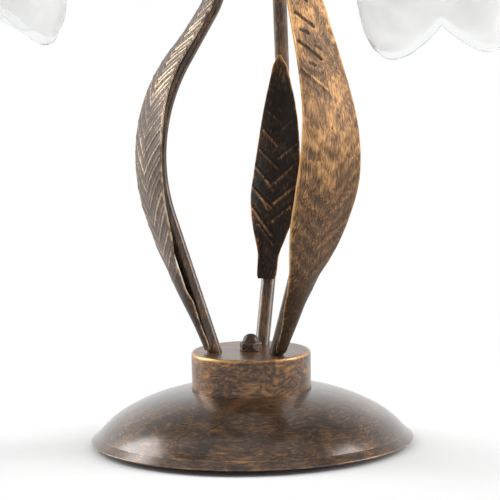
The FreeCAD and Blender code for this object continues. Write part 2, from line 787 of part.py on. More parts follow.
# How sharply a leaf is bowed: share of its length, share of the full radius. The ends of a
# large leaf hug the tube.
LEAF_BOW = [(0.0, 0.0), (0.04, 0.006), (0.12, 0.03), (0.2, 0.14), (0.3, 1.0), (0.84, 1.0), (0.93, 0.14),
            (1.0, 0.0)]
SMALL_LEAF_BOW = [(0.0, 0.2), (0.2, 0.3), (0.8, 0.3), (1.0, 0.02)]
# How far a leaf is turned round its tube: share of its length, share of the full turn.
LEAF_TWIST = [(0.0, 0.0), (0.2, 0.4), (0.3, 1.0), (0.55, 1.0), (0.75, 0.1), (1.0, 0.0)]


def between(points, share):
    """Straight-line reading of a short list of (share, value) points."""
    for (low, start), (high, end) in zip(points, points[1:]):
        if share <= high:
            return start + (end - start) * (share - low) / (high - low)
    return points[-1][1]


def point_along(edges, distance):
    """Point and direction on a line of edges at a distance from its start."""
    for edge in edges:
        if distance <= edge.Length or edge is edges[-1]:
            parameter = edge.getParameterByLength(distance)
            return edge.valueAt(parameter), edge.tangentAt(parameter)
        distance -= edge.Length
    raise ValueError(distance)


def leaf_section(place, along, outward, width, stand, bow, thick):
    """Closed section of a bowed leaf, square to the tube."""
    side = along.cross(outward).normalize()
    centre = place + outward * (stand - bow)
    half = math.asin(width / 2 / bow)

    def at(radius, angle):
        return centre + outward * (radius * math.cos(angle)) + side * (radius * math.sin(angle))

    inner = bow - thick / 2
    outer = bow + thick / 2
    return Part.Wire([
        Part.Arc(at(outer, -half), at(outer, 0), at(outer, half)).toShape(),
        Part.LineSegment(at(outer, half), at(inner, half)).toShape(),
        Part.Arc(at(inner, half), at(inner, 0), at(inner, -half)).toShape(),
        Part.LineSegment(at(inner, -half), at(outer, -half)).toShape(),
    ])


def make_leaf(arm, outline, bows, start, length, width, belly, facing):
    """A bowed sheet leaf that follows the tube, on its outer (1) or inner (-1) side."""
    corners = arm_corners(arm, size_of("dish_top + drum_height"), tube_end_height())
    drum_top = size_of("dish_top + drum_height")
    corners = corners[1:]
    foot, bend = corners[0]
    ahead = corners[1][0] - foot
    corners[0] = (foot + ahead * ((drum_top - foot.z) / ahead.z), 0)
    edges = bent_line(corners)
    thick = size_of("leaf_thick")
    seat = size_of("tube_radius + leaf_seat + leaf_thick / 2")
    sections = []
    for share, spread in outline:
        place, along = point_along(edges, start + length * share)
        twist = Rotation(along, of_arm(arm, "leaf_turn") * between(LEAF_TWIST, share))
        outward = twist.multVec(Vector(along.z, 0, -along.x)).normalize() * facing
        stand = seat + (belly - seat) * between(LEAF_STANDS[arm], share)
        bow = seat + (size_of("leaf_bow") - seat) * between(bows, share)
        sections.append(leaf_section(place, along, outward, width * spread, stand, bow, thick))
    keep(feature_of("leaf_" + arm, Part.makeLoft(sections, True, False), arm_frame(arm)))


def make_leaves():
    for arm in ("left", "right"):
        make_leaf(arm, LEAF_OUTLINE, LEAF_BOW, size_of("leaf_start"), size_of("leaf_length"),
                  size_of("leaf_width"), size_of("leaf_belly"), 1)
    make_leaf("back", SMALL_LEAF_OUTLINE, SMALL_LEAF_BOW, size_of("small_leaf_start"),
              size_of("small_leaf_length"), size_of("small_leaf_width"), size_of("small_leaf_belly"), -1)


# ---------------------------------------------------------------- heads

PETALS = 4


def lobed_section(height, offset, lobe):
    """Four equal arcs round the shade's axis, which meet in shallow valleys."""
    diagonal = offset / math.sqrt(2)
    valley = diagonal + math.sqrt(lobe ** 2 - diagonal ** 2)
    arcs = []
    for petal in range(PETALS):
        turn = Rotation(UP, FULL_TURN / PETALS * petal)
        start = turn.multVec(Vector(valley, 0, 0))
        end = turn.multVec(Vector(0, valley, 0))
        peak = turn.multVec(Vector(1, 1, 0).normalize() * (offset + lobe))
        lift = Vector(0, 0, height)
        arcs.append(Part.Arc(start + lift, peak + lift, end + lift).toShape())
    return Part.Wire(arcs)


# Shade from belly to neck: share of the rise, share of the lobe offset, share of the way
# from the belly's lobe radius to the neck's radius.
SHADE_SHOULDER = [(0.33, 0.78, 0.08), (0.63, 0.46, 0.34), (0.87, 0.17, 0.72), (1.0, 0.0, 1.0)]


def shade_sections(inset, top):
    """Sections of the tulip from mouth to neck."""
    offset = size_of("belly_offset")
    lobe = size_of("belly_lobe")
    neck = size_of("shade_neck")
    belly = size_of("belly_height")
    sections = [
        lobed_section(0, size_of("mouth_offset"), size_of("mouth_lobe") - inset),
        lobed_section(belly / 2, offset, lobe - size_of("lip_taper") - inset),
        lobed_section(belly, offset, lobe - inset),
    ]
    for rise, spread, turn in SHADE_SHOULDER:
        height = belly + (top - belly) * rise
        sections.append(lobed_section(height, offset * spread, lobe + (neck - lobe) * turn - inset))
    return sections


def petal_cutter():
    """Prism that trims two facing notches of the lip, along X."""
    tip = (size_of("mouth_offset") + size_of("mouth_lobe")) / math.sqrt(2)
    notch = size_of("notch_height")
    radius = (tip ** 2 + notch ** 2) / (2 * notch)
    reach = size_of("belly_offset + belly_lobe + notch_height")
    half = math.asin(tip / radius) / 2

    def arc(side):
        bottom = Vector(-reach, side * tip, 0)
        middle = Vector(-reach, side * (tip - radius * math.sin(half)), radius * (1 - math.cos(half)))
        return Part.Arc(Vector(-reach, 0, notch), middle, bottom).toShape()

    corners = [Vector(-reach, tip, 0), Vector(-reach, tip, -notch), Vector(-reach, -tip, -notch),
               Vector(-reach, -tip, 0)]
    edges = [arc(1)]
    edges += [Part.LineSegment(a, b).toShape() for a, b in zip(corners, corners[1:])]
    edges += [arc(-1)]
    face = Part.Face(Part.Wire(Part.sortEdges(edges)[0]))
    return face.extrude(Vector(2 * reach, 0, 0))


def make_shade(arm):
    top = size_of("shade_height")
    ceiling = size_of("shade_height - shade_top_thick")
    outside = Part.makeLoft(shade_sections(0, top), True, False)
    inside = Part.makeLoft(shade_sections(size_of("shade_wall"), ceiling), True, False)
    hole = Part.makeCylinder(size_of("holder_radius + shade_hole_gap"), top, Vector(0, 0, top / 2))
    cutter = petal_cutter()
    crossing = cutter.copy()
    crossing.rotate(Vector(0, 0, 0), UP, 90)
    shade = outside.cut([inside, hole, cutter, crossing])
    turn = Placement(Vector(0, 0, 0), Rotation(UP, of_arm(arm, "turn")))
    keep(feature_of("shade_" + arm, shade, head_frame(arm) * turn))


def make_lampholder(arm):
    """Insulating body with a flange that rests on the glass, a screw shell and a contact."""
    name = "lampholder_" + arm
    body = new_body(name)
    flange = "shade_height"
    flange_top = flange + " + holder_flange_thick"
    socket_low = HOLDER_HIGH + " - tube_socket_depth"
    turned(body, [
        (HOLDER_BORE, HOLDER_LOW),
        ("holder_radius", HOLDER_LOW),
        ("holder_radius", flange),
        ("holder_radius + holder_flange", flange),
        ("holder_radius + holder_flange", flange_top),
        ("holder_radius", flange_top),
        ("holder_radius", HOLDER_HIGH + " - holder_taper_length"),
        ("holder_radius - holder_taper", HOLDER_HIGH),
        ("tube_radius + hole_clearance", HOLDER_HIGH),
        ("tube_radius + hole_clearance", socket_low),
        (0, socket_low),
        (0, BORE_TOP),
        (HOLDER_BORE, BORE_TOP),
    ])
    body.Placement = head_frame(arm)
    keep(body)
    shell = tube_piece("socket_shell_" + arm, HOLDER_BORE, HOLDER_BORE + " - shell_wall", "shell_length",
                       HOLDER_LOW + " + shell_lift")
    shell.Placement = head_frame(arm)
    keep(shell)
    contact = cylinder("socket_contact_disc_" + arm, "contact_radius", "contact_thick",
                       BORE_TOP + " - contact_thick")
    centred = doc.addObject("Part::Compound", "socket_contact_" + arm)
    centred.Links = [contact]
    centred.Placement = head_frame(arm)
    keep(centred)


def make_ring(arm):
    """Ring under the glass, scalloped for the fingers, which runs on the lampholder."""
    low = "shade_height - shade_top_thick - ring_gap - ring_height"
    blank = cylinder("ring_blank_" + arm, "holder_radius + ring_width", "ring_height", low)
    tools = [cylinder("ring_bore_" + arm, "holder_radius + running_fit", "ring_height", low)]
    grips = int(size_of("ring_grips"))
    for grip in range(grips):
        x, y = polar(grip, grips, "(holder_radius + ring_width)")
        name = "ring_grip_%s_%d" % (arm, grip)
        tools.append(cylinder(name, "ring_grip_radius", "ring_grip_height", low, x, y))
    ring = cut("shade_ring_" + arm, blank, fuse("ring_openings_" + arm, tools))
    ring.Placement = head_frame(arm)
    keep(ring)


def make_cup(arm):
    """Spun metal cup over the lampholder, and the collar nut that holds it on the tube."""
    name = "socket_cup_" + arm
    body = new_body(name)
    low = "shade_height"
    bell = turned(body, [
        (0, low),
        ("cup_radius", low),
        ("cup_radius", low + " + cup_skirt", "cup_curve", 1),
        ("cup_top", CUP_TOP),
        (0, CUP_TOP),
    ])
    hollowed(body, bell, low, "cup_wall")
    drilled(body, "tube_hole", [(0, 0, "tube_radius + hole_clearance")], low)
    body.Placement = head_frame(arm)
    keep(body)
    bore = "tube_radius + hole_clearance"
    collar = tube_piece("cup_collar_" + arm, "collar_radius", bore, "collar_height", CUP_TOP)
    collar.Placement = head_frame(arm)
    keep(collar)
    nut_low = CUP_TOP + " - cup_wall - nut_height"
    nut = hex_nut("cup_locknut_" + arm, "nut_flats", "nut_height", nut_low, bore)
    nut.Placement = head_frame(arm)
    keep(nut)


def make_bulb(arm):
    """Round bulb with a screw cap."""
    tip_low = BORE_TOP + " - contact_thick - contact_gap - tip_length"
    shell = cylinder("bulb_cap_shell_" + arm, "cap_radius", "%s - %s" % (tip_low, CAP_LOW), CAP_LOW)
    tip = cylinder("bulb_cap_tip_" + arm, "tip_radius", "tip_length", tip_low)
    cap = fuse("bulb_cap_" + arm, [shell, tip])
    cap.Placement = head_frame(arm)
    keep(cap)
    body = new_body("bulb_globe_" + arm)
    centre = "shade_height - globe_drop"
    turned(body, [
        (0, centre + " - globe_radius", "globe_radius", 1),
        ("globe_radius", centre, "globe_radius", 1),
        ("globe_radius * sin(globe_shoulder)", centre + " + globe_radius * cos(globe_shoulder)"),
        ("globe_neck", CAP_LOW + " - globe_neck_length"),
        ("globe_neck", CAP_LOW),
        (0, CAP_LOW),
    ])
    body.Placement = head_frame(arm)
    keep(body)


def make_heads():
    for arm in ARMS:
        make_shade(arm)
        make_lampholder(arm)
        make_ring(arm)
        make_cup(arm)
        make_bulb(arm)


# ---------------------------------------------------------------- build and write

def check_document():
    """Stop if any feature failed or any node's shape is missing or not valid."""
    for item in doc.Objects:
        if "Invalid" in item.State or "Error" in item.State:
            raise RuntimeError("%s failed: %s" % (item.Name, item.State))
    for node in nodes:
        if node.Shape.isNull() or not node.Shape.isValid() or not node.Shape.Solids:
            raise RuntimeError("%s has no valid solid" % node.Label)


def write_nodes():
    os.makedirs("parts", exist_ok=True)
    for node in nodes:
        node.Shape.exportStep(os.path.join("parts", node.Label + ".step"))
        print("%-24s %10.1f mm3  %d solid(s)" % (node.Label, node.Shape.Volume, len(node.Shape.Solids)))


make_pad()
make_ballast()
make_dish()
make_inlet()
drum_shell = make_drum()
make_plate()
make_rod_stack()
make_cap_nut()
make_terminal_block()
make_arms()
make_foot_nuts()
cut_tube_holes(drum_shell)
make_leaves()
make_heads()
doc.recompute()
check_document()
write_nodes()
print(len(nodes), "nodes")
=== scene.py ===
# Looks of a three-light table lamp with tulip shades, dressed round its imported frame.
# Lengths are metres, and MM makes them from millimetres. The origin is on the floor under the
# middle of the base, +Z is up and -Y is the front, as in the CAD.

import json
from math import atan2, cos, dist, pi, radians, sin, sqrt, tan

import bmesh
import bpy
import numpy as np
from mathutils import Matrix, Quaternion, Vector


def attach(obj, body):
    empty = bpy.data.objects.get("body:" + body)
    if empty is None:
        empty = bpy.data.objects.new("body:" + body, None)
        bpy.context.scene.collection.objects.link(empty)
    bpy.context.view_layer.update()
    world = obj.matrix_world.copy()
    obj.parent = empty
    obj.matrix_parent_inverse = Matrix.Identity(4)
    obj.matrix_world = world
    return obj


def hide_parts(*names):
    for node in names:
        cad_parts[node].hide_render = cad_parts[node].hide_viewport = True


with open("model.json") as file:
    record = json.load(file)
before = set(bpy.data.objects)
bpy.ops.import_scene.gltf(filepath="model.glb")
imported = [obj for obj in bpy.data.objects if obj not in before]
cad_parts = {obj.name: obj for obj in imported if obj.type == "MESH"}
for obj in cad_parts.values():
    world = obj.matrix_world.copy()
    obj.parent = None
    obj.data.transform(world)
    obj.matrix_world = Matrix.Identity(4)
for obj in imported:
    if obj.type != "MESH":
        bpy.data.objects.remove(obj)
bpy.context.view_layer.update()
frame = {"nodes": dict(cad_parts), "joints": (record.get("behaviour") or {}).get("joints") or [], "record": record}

MM = 0.001
UP = Vector((0, 0, 1))
ARMS = ("left", "right", "back")

# ---- sizes, as in the CAD

RIM_GAP = 4 * MM
DISH_RADIUS = 112.5 * MM
RIM_LIP = 0.9 * MM
DISH_TOP = 40 * MM
HUB_RADIUS = 44 * MM
KNEE_RADIUS = 88 * MM
KNEE_HEIGHT = 25.3 * MM
HEM_RADIUS = 107.2 * MM
HEM_HEIGHT = 9.5 * MM
DOME_CURVE = 130 * MM
SHOULDER_CURVE = 66 * MM
DISH_WALL = 1.2 * MM
DRUM_RADIUS = 41.6 * MM
DRUM_HEIGHT = 26.4 * MM
DRUM_WALL = 1.5 * MM
DRUM_EDGE = 2 * MM
DRUM_TOP = DISH_TOP + DRUM_HEIGHT
ROD_HOLE = 5.2 * MM

WASHER_THICK = 1.2 * MM
CAP_WASHER_RADIUS = 7.8 * MM
CAP_FLATS = 14 * MM
CAP_HEX_HEIGHT = 4.8 * MM
CAP_DOME_RADIUS = 5.8 * MM
CAP_BEVEL = 0.9 * MM
CAP_SHOULDER = 1.2 * MM
HEX_ROWS = 6
DOME_ROWS = 16

TUBE_RADIUS = 5 * MM
FOOT_REACH = 24 * MM
FOOT_LOW = 43 * MM
FOOT_BEND_HEIGHT = 61 * MM
FOOT_BEND = 25 * MM
WAIST_BEND = 60 * MM
CROWN_BEND = 48 * MM
HEAD_BEND = 34 * MM
CROWN_SPAN = 80 * MM
CROWN_SIDE = 0.6
END_RUN = 57 * MM
TUBE_END = 137.3 * MM

SHADE_HEIGHT = 108 * MM
SHADE_WALL = 2.4 * MM
SHADE_TOP_THICK = 3 * MM
SHADE_HOLE = 14.6 * MM
SHADE_NECK = 27 * MM
BELLY_HEIGHT = 40 * MM
BELLY_OFFSET = 21 * MM
BELLY_LOBE = 37 * MM
MOUTH_OFFSET = 19 * MM
MOUTH_LOBE = 29 * MM
LIP_TAPER = 2.2 * MM
NOTCH_HEIGHT = 22.5 * MM
SHADE_SHOULDER = ((0.33, 0.78, 0.08), (0.63, 0.46, 0.34), (0.87, 0.17, 0.72), (1, 0, 1))

RING_HEIGHT = 6 * MM
RING_GAP = 0.3 * MM
RING_RADIUS = 20 * MM
RING_BORE = 14.05 * MM
RING_GRIPS = 12
GRIP_STEPS = 16
RING_GRIP_RADIUS = 1.4 * MM
RING_GRIP_HEIGHT = 3.6 * MM
RING_MIDDLE = SHADE_HEIGHT - SHADE_TOP_THICK - RING_GAP - RING_HEIGHT / 2

HOLDER_RADIUS = 14 * MM
HOLDER_LOW = 84 * MM
HOLDER_HIGH = 145 * MM
HOLDER_FLANGE = 18 * MM
HOLDER_FLANGE_THICK = 3 * MM
HOLDER_TAPER = 4 * MM
HOLDER_TAPER_LENGTH = 8 * MM
HOLDER_BORE = 7.45 * MM
HOLDER_BORE_DEPTH = 28 * MM
TUBE_SOCKET_DEPTH = 8 * MM

CUP_RADIUS = 25.5 * MM
CUP_TOP_RADIUS = 8.5 * MM
CUP_CURVE = 48 * MM
CUP_SKIRT = 3 * MM
CUP_WALL = 1 * MM
CUP_TOP = 152 * MM
COLLAR_RADIUS = 7.6 * MM
COLLAR_HEIGHT = 5 * MM
COLLAR_GROOVE = (0.4, 0.5, 0.6)

GLOBE_RADIUS = 22.5 * MM
GLOBE_CENTRE = 54 * MM
GLOBE_NECK = 8.6 * MM
GLOBE_NECK_LENGTH = 4 * MM
GLOBE_SHOULDER = 40
GLOBE_FLARE = 1.6 * MM
GLOBE_FLARE_DROP = 2.3 * MM
GLOBE_ROWS = 40
CAP_LOW = 82 * MM

# Fillets of turned edges, from sharp to soft.
CRISP = 0.2 * MM
EASED = 0.3 * MM
BROKEN = 0.4 * MM
SOFT = 0.5 * MM

# How each arm was bent: direction from +X and turns in degrees, corners as (distance, height).
BENDS = {
    "left": {"azimuth": 210, "bulge": (73.8, 219.7), "bulge_bend": 132.8, "waist": (6.2, 333), "turn": 5,
             "leaf_turn": 7},
    "right": {"azimuth": 330, "bulge": (80.6, 212), "bulge_bend": 112, "waist": (43, 335), "turn": -42,
              "leaf_turn": 0},
    "back": {"azimuth": 90, "bulge": (86, 222), "bulge_bend": 200, "waist": (77, 345), "turn": -42,
             "leaf_turn": 0},
}


# ---- materials

# Noise scales are in waves per metre, and stops are shares of a noise's or mixture's range.
LENGTHWISE_SHARE = 0.13
STREAK_ARM = 12 * MM
DRIFT_SCALE = 42
BLOTCH_SCALE = 55
SWIRL_SCALE = 26
FROST_SCALE = 900
NOISE_MIDDLE = (0.5, 0.5, 0.5)
TONE_STOPS = (0.36, 0.5, 0.62, 0.8)
METAL_STOPS = (0.45, 0.75)
GLOSS_STOPS = (0.3, 0.7)
SPECKLE_STOPS = (0.35, 0.65)
COAT_ROUGHNESS = 0.2
BRONZE_BUMP = 0.35
BRONZE_DEPTH = 0.15 * MM
SPECKLE_DEPTH = 0.1 * MM
GLASS_IOR = 1.2
CLEAR_BAND = 7 * MM
FINE_SHARE = 0.85
BROAD_SHARE = 0.5
DARK_BROWN = (0.03, 0.015, 0.007)
BROWN = (0.1, 0.051, 0.022)
COPPER = (0.27, 0.13, 0.05)
GOLD = (0.56, 0.31, 0.12)
GREY_BROWN = (0.15, 0.105, 0.075)
LACQUER = (DARK_BROWN, BROWN, COPPER, GOLD)


class NodeTree:
    """Shader nodes. node() adds one and sets or links its inputs."""

    def __init__(self, tree):
        self.tree = tree

    def feed(self, socket, value):
        if isinstance(value, bpy.types.NodeSocket):
            self.tree.links.new(value, socket)
        else:
            socket.default_value = value

    def node(self, kind, inputs=None, **settings):
        made = self.tree.nodes.new("ShaderNode" + kind)
        for key, value in settings.items():
            setattr(made, key, value)
        for key, value in (inputs or {}).items():
            self.feed(made.inputs[key], value)
        return made

    def maths(self, operation, first, second):
        return self.node("Math", {0: first, 1: second}, operation=operation).outputs[0]

    def mapped(self, value, start, end, low, high, kind="LINEAR"):
        """A value moved from the range start to end into the range low to high."""
        inputs = {"Value": value, "From Min": start, "From Max": end, "To Min": low, "To Max": high}
        return self.node("MapRange", inputs, interpolation_type=kind).outputs["Result"]

    def rays(self, names):
        """1 for rays of the named kinds, and 0 for all others."""
        path = self.node("LightPath")
        share = path.outputs[names[0]]
        for name in names[1:]:
            share = self.maths("MAXIMUM", share, path.outputs[name])
        return share


class Paint(NodeTree):
    """A procedural material."""

    def __init__(self, name):
        self.material = bpy.data.materials.new(name)
        self.material.use_nodes = True
        super().__init__(self.material.node_tree)
        self.shader = self.tree.nodes["Principled BSDF"]

    def object_place(self):
        return self.node("TexCoord").outputs["Object"]

    def stretched(self, place, scale):
        return self.node("Mapping", {"Vector": place, "Scale": scale}).outputs["Vector"]

    def noise(self, place, scale, detail=3, roughness=0.5, distortion=0):
        inputs = {"Vector": place, "Scale": scale, "Detail": detail, "Roughness": roughness,
                  "Distortion": distortion}
        return self.node("TexNoise", inputs)

    def ramp(self, value, stops):
        """A colour ramp over (position, colour or grey) stops."""
        stops = tuple(stops)
        made = self.node("ValToRGB", {"Fac": value})
        elements = made.color_ramp.elements
        while len(elements) < len(stops):
            elements.new(1)
        for element, (position, colour) in zip(elements, stops):
            element.position = position
            grey = isinstance(colour, (int, float))
            element.color = (colour, colour, colour, 1) if grey else (*colour, 1)
        return made.outputs["Color"]

    def mixed(self, share, first, second):
        made = self.node("Mix", data_type="RGBA")
        self.feed(made.inputs["Factor"], share)
        self.feed(made.inputs[6], first)
        self.feed(made.inputs[7], second)
        return made.outputs[2]

    def value_of(self, attribute):
        return self.node("Attribute", attribute_name=attribute).outputs["Fac"]

    def bump(self, height, strength, distance):
        made = self.node("Bump", {"Height": height, "Strength": strength, "Distance": distance})
        self.feed(self.shader.inputs["Normal"], made.outputs["Normal"])

    def set(self, **inputs):
        for key, value in inputs.items():
            self.feed(self.shader.inputs[key.replace("_", " ")], value)


def lengthwise(paint):
    """Coordinates for streaks that run up and down."""
    return paint.stretched(paint.object_place(), (1, 1, LENGTHWISE_SHARE))


def round_the_axis(paint):
    """Coordinates for streaks that run round the lamp's axis."""
    x, y, z = paint.node("SeparateXYZ", {"Vector": paint.object_place()}).outputs
    flat = paint.node("CombineXYZ", {"X": x, "Y": y}).outputs["Vector"]
    radius = paint.node("VectorMath", {0: flat}, operation="LENGTH").outputs["Value"]
    around = paint.node("VectorMath", {0: flat}, operation="NORMALIZE").outputs["Vector"]
    spoke = paint.node("SeparateXYZ", {"Vector": around}).outputs
    inputs = {axis: paint.maths("MULTIPLY", spoke[axis], STREAK_ARM) for axis in "XY"}
    inputs["Z"] = paint.maths("SUBTRACT", radius, z)
    return paint.node("CombineXYZ", inputs).outputs["Vector"]


def bronze(name, streaks, colours, gold, relief=0, wear_and_painted_light=0.3, grain=460, rough=(0.3, 0.5),
           swirl=0.004, metal=(0.25, 0.75), coat=0, specular=0.5):
    """Dark bronze lacquer with copper and gold worn through it.

    gold shifts the share of bright metal; relief makes raised places brighter, a painted highlight on the ridges,
    and pressed ones darker, painted shade in the hollows; and the edge factor brightens the edges with worn gold
    and a painted highlight, and on the leaves also paints light and shade along their length.
    """
    paint = Paint(name)
    place = paint.object_place()
    drift = paint.noise(place, DRIFT_SCALE, 2).outputs["Color"]
    centred = paint.node("VectorMath", {0: drift, 1: NOISE_MIDDLE}, operation="SUBTRACT").outputs["Vector"]
    moved = paint.node("VectorMath", {0: centred, 3: swirl}, operation="SCALE").outputs["Vector"]
    warped = paint.node("VectorMath", {0: streaks(paint), 1: moved}, operation="ADD").outputs["Vector"]
    fine = paint.noise(warped, grain, 5, 0.62, 0.3).outputs["Fac"]
    broad = paint.noise(place, BLOTCH_SCALE, 4, 0.6, 0.8).outputs["Fac"]
    share = paint.maths("MULTIPLY", fine, FINE_SHARE)
    share = paint.maths("ADD", share, paint.maths("MULTIPLY", broad, BROAD_SHARE))
    share = paint.maths("ADD", share, gold + (1 - FINE_SHARE - BROAD_SHARE) / 2)
    # Painted highlight on raised places and painted shade in pressed ones, read from the relief.
    if relief:
        share = paint.maths("ADD", share, paint.maths("MULTIPLY", paint.value_of("relief"), relief))
    # Edge gold: worn gold with a painted highlight along the edges; on the leaves also painted light and shade
    # along their length.
    edge_gold_and_light = paint.maths("MULTIPLY", paint.value_of("wear_and_painted_light"), paint.maths("MULTIPLY", broad, wear_and_painted_light * 2))
    share = paint.maths("ADD", share, edge_gold_and_light)
    paint.set(Base_Color=paint.ramp(share, zip(TONE_STOPS, colours)))
    paint.set(Metallic=paint.ramp(share, zip(METAL_STOPS, metal)))
    paint.set(Roughness=paint.ramp(fine, zip(GLOSS_STOPS, rough)))
    paint.set(Coat_Weight=coat, Coat_Roughness=COAT_ROUGHNESS, Specular_IOR_Level=specular)
    paint.bump(fine, BRONZE_BUMP, BRONZE_DEPTH)
    return paint.material


def speckled(name, colour, second, scale, metallic, rough, bump=0.2, stretch=(1, 1, 1)):
    """A surface of one substance, with slight mottling in colour, gloss and height."""
    paint = Paint(name)
    place = paint.stretched(paint.object_place(), stretch)
    grain = paint.noise(place, scale, 4, 0.6).outputs["Fac"]
    paint.set(Base_Color=paint.ramp(grain, zip(SPECKLE_STOPS, (colour, second))))
    paint.set(Roughness=paint.ramp(grain, zip(GLOSS_STOPS, rough)))
    paint.set(Metallic=metallic)
    paint.bump(grain, bump, SPECKLE_DEPTH)
    return paint.material


def frosted_glass():
    """Pale frosted glass with soft swirls, and a clear band along the lip."""
    paint = Paint("frosted_glass")
    place = paint.object_place()
    swirl = paint.noise(place, SWIRL_SCALE, 2.5, 0.5, 2.4).outputs["Fac"]
    fine = paint.noise(place, FROST_SCALE, 2).outputs["Fac"]
    band = paint.maths("DIVIDE", paint.value_of("lip_distance"), CLEAR_BAND * 2)
    frosted = paint.ramp(band, ((0.4, 0), (0.58, 1)))
    cloudy = paint.ramp(swirl, ((0.35, (0.93, 0.93, 0.92)), (0.62, (1, 1, 0.99))))
    paint.set(Base_Color=paint.mixed(frosted, (0.95, 0.96, 0.96, 1), cloudy))
    haze = paint.ramp(swirl, ((0.35, 0.42), (0.65, 0.58)))
    paint.set(Roughness=paint.mixed(frosted, (0.1, 0.1, 0.1, 1), haze))
    through = paint.ramp(swirl, ((0.35, 0.72), (0.65, 0.86)))
    paint.set(Transmission_Weight=paint.mixed(frosted, (0.97, 0.97, 0.97, 1), through), IOR=GLASS_IOR)
    paint.bump(paint.maths("MULTIPLY", fine, frosted), 0.1, 0.05 * MM)
    return paint.material


def opal_glass():
    """Milky glass of the bulbs."""
    paint = Paint("bulb_glass")
    place = paint.object_place()
    cloud = paint.noise(place, 60, 3).outputs["Fac"]
    paint.set(Base_Color=paint.ramp(cloud, ((0.3, (0.93, 0.92, 0.89)), (0.7, (0.97, 0.96, 0.94)))))
    paint.set(Roughness=paint.ramp(cloud, ((0.3, 0.16), (0.7, 0.24))))
    paint.set(Transmission_Weight=paint.ramp(cloud, ((0.3, 0.12), (0.7, 0.2))))
    return paint.material


MATERIALS = {
    "dish_bronze": bronze("dish_bronze", round_the_axis, LACQUER, -0.05, coat=1, wear_and_painted_light=0.2,
                          rough=(0.28, 0.42), grain=620, swirl=0.018, specular=0.3),
    "drum_bronze": bronze("drum_bronze", round_the_axis, LACQUER, 0.03, coat=0.5, grain=560,
                          swirl=0.016, specular=0.35),
    "arm_bronze": bronze("arm_bronze", lengthwise, LACQUER, -0.06, coat=0.5, rough=(0.24, 0.42),
                         grain=800),
    "cup_bronze": bronze("cup_bronze", lengthwise, LACQUER, -0.02, coat=0.5),
    "nut_bronze": bronze("nut_bronze", round_the_axis, LACQUER, -0.12, wear_and_painted_light=0.08, grain=900, coat=0.3,
                         specular=0.3),
    "leaf_bronze": bronze("leaf_bronze", lengthwise, (BROWN, GREY_BROWN, COPPER, GOLD), 0.04, 0.12),
    "frosted_glass": frosted_glass(),
    "bulb_glass": opal_glass(),
}
# Two colours, noise scale, share of metal and two roughnesses; then bump and stretch for some.
SPECKLES = {
    "brass_parts": ((0.62, 0.45, 0.18), (0.78, 0.62, 0.3), 300, 1, (0.18, 0.34)),
    "holder_plastic": ((0.8, 0.79, 0.75), (0.86, 0.85, 0.82), 700, 0, (0.28, 0.4)),
    "ring_plastic": ((0.77, 0.76, 0.72), (0.84, 0.83, 0.8), 700, 0, (0.3, 0.42)),
    "plated_steel": ((0.5, 0.5, 0.52), (0.66, 0.66, 0.67), 800, 1, (0.22, 0.4), 0.2, (1, 1, 6)),
    "ballast_iron": ((0.1, 0.1, 0.11), (0.19, 0.19, 0.2), 500, 0.7, (0.5, 0.75), 0.6),
    "pad_foam": ((0.03, 0.03, 0.031), (0.06, 0.06, 0.062), 1400, 0, (0.85, 0.95), 0.8),
    "bush_rubber": ((0.018, 0.018, 0.018), (0.035, 0.035, 0.035), 600, 0, (0.6, 0.75)),
    "lead_insulation": ((0.72, 0.72, 0.68), (0.82, 0.82, 0.79), 300, 0, (0.4, 0.5)),
    "terminal_plastic": ((0.8, 0.8, 0.76), (0.87, 0.87, 0.84), 500, 0, (0.35, 0.5)),
}
MATERIALS.update({name: speckled(name, *look) for name, look in SPECKLES.items()})
# One bronze for all three leaves, in lit and shaded copies: the left one greyer and paler, a painted sheen; the
# right one brighter gold, painted light; the back one darker, painted shade.
LEAF_LIT_AND_SHADED_MATERIALS = {
    "left": bronze("leaf_bronze_painted_sheen_left", lengthwise,
                   ((0.05, 0.029, 0.017), (0.1, 0.062, 0.038), (0.24, 0.16, 0.1), (0.58, 0.45, 0.31)),
                   -0.09, 0.34, 0.34, rough=(0.28, 0.44), swirl=0.002, metal=(0.15, 0.45), specular=0.3,
                   grain=800),
    "right": bronze("leaf_bronze_painted_light_right", lengthwise,
                    ((0.05, 0.028, 0.014), (0.155, 0.082, 0.038), (0.38, 0.205, 0.085), (0.64, 0.38, 0.16)),
                    -0.01, 0.16, 0.34, rough=(0.36, 0.58), swirl=0.01, specular=0.25, grain=900),
    "back": bronze("leaf_bronze_painted_shade_back", lengthwise,
                   ((0.012, 0.007, 0.004), (0.038, 0.021, 0.012), (0.17, 0.08, 0.036), (0.42, 0.22, 0.09)),
                   -0.07, 0.24, 0.34, rough=(0.3, 0.5), swirl=0.008, specular=0.3, grain=800),
}


# ---- mesh helpers

WELD_DISTANCE = 1e-6
# Flat bands beside a fillet, its longest reach along a side, and the edge gold at its ends: worn gold together
# with a painted highlight on the rounding.
EDGE_GUARD = 0.9 * MM
GUARD_SHARE = 0.3
FILLET_SHARE = 0.45
END_WEAR_AND_HIGHLIGHT = 0.35


def add_object(name, data):
    made = bpy.data.objects.new(name, data)
    bpy.context.scene.collection.objects.link(made)
    return made


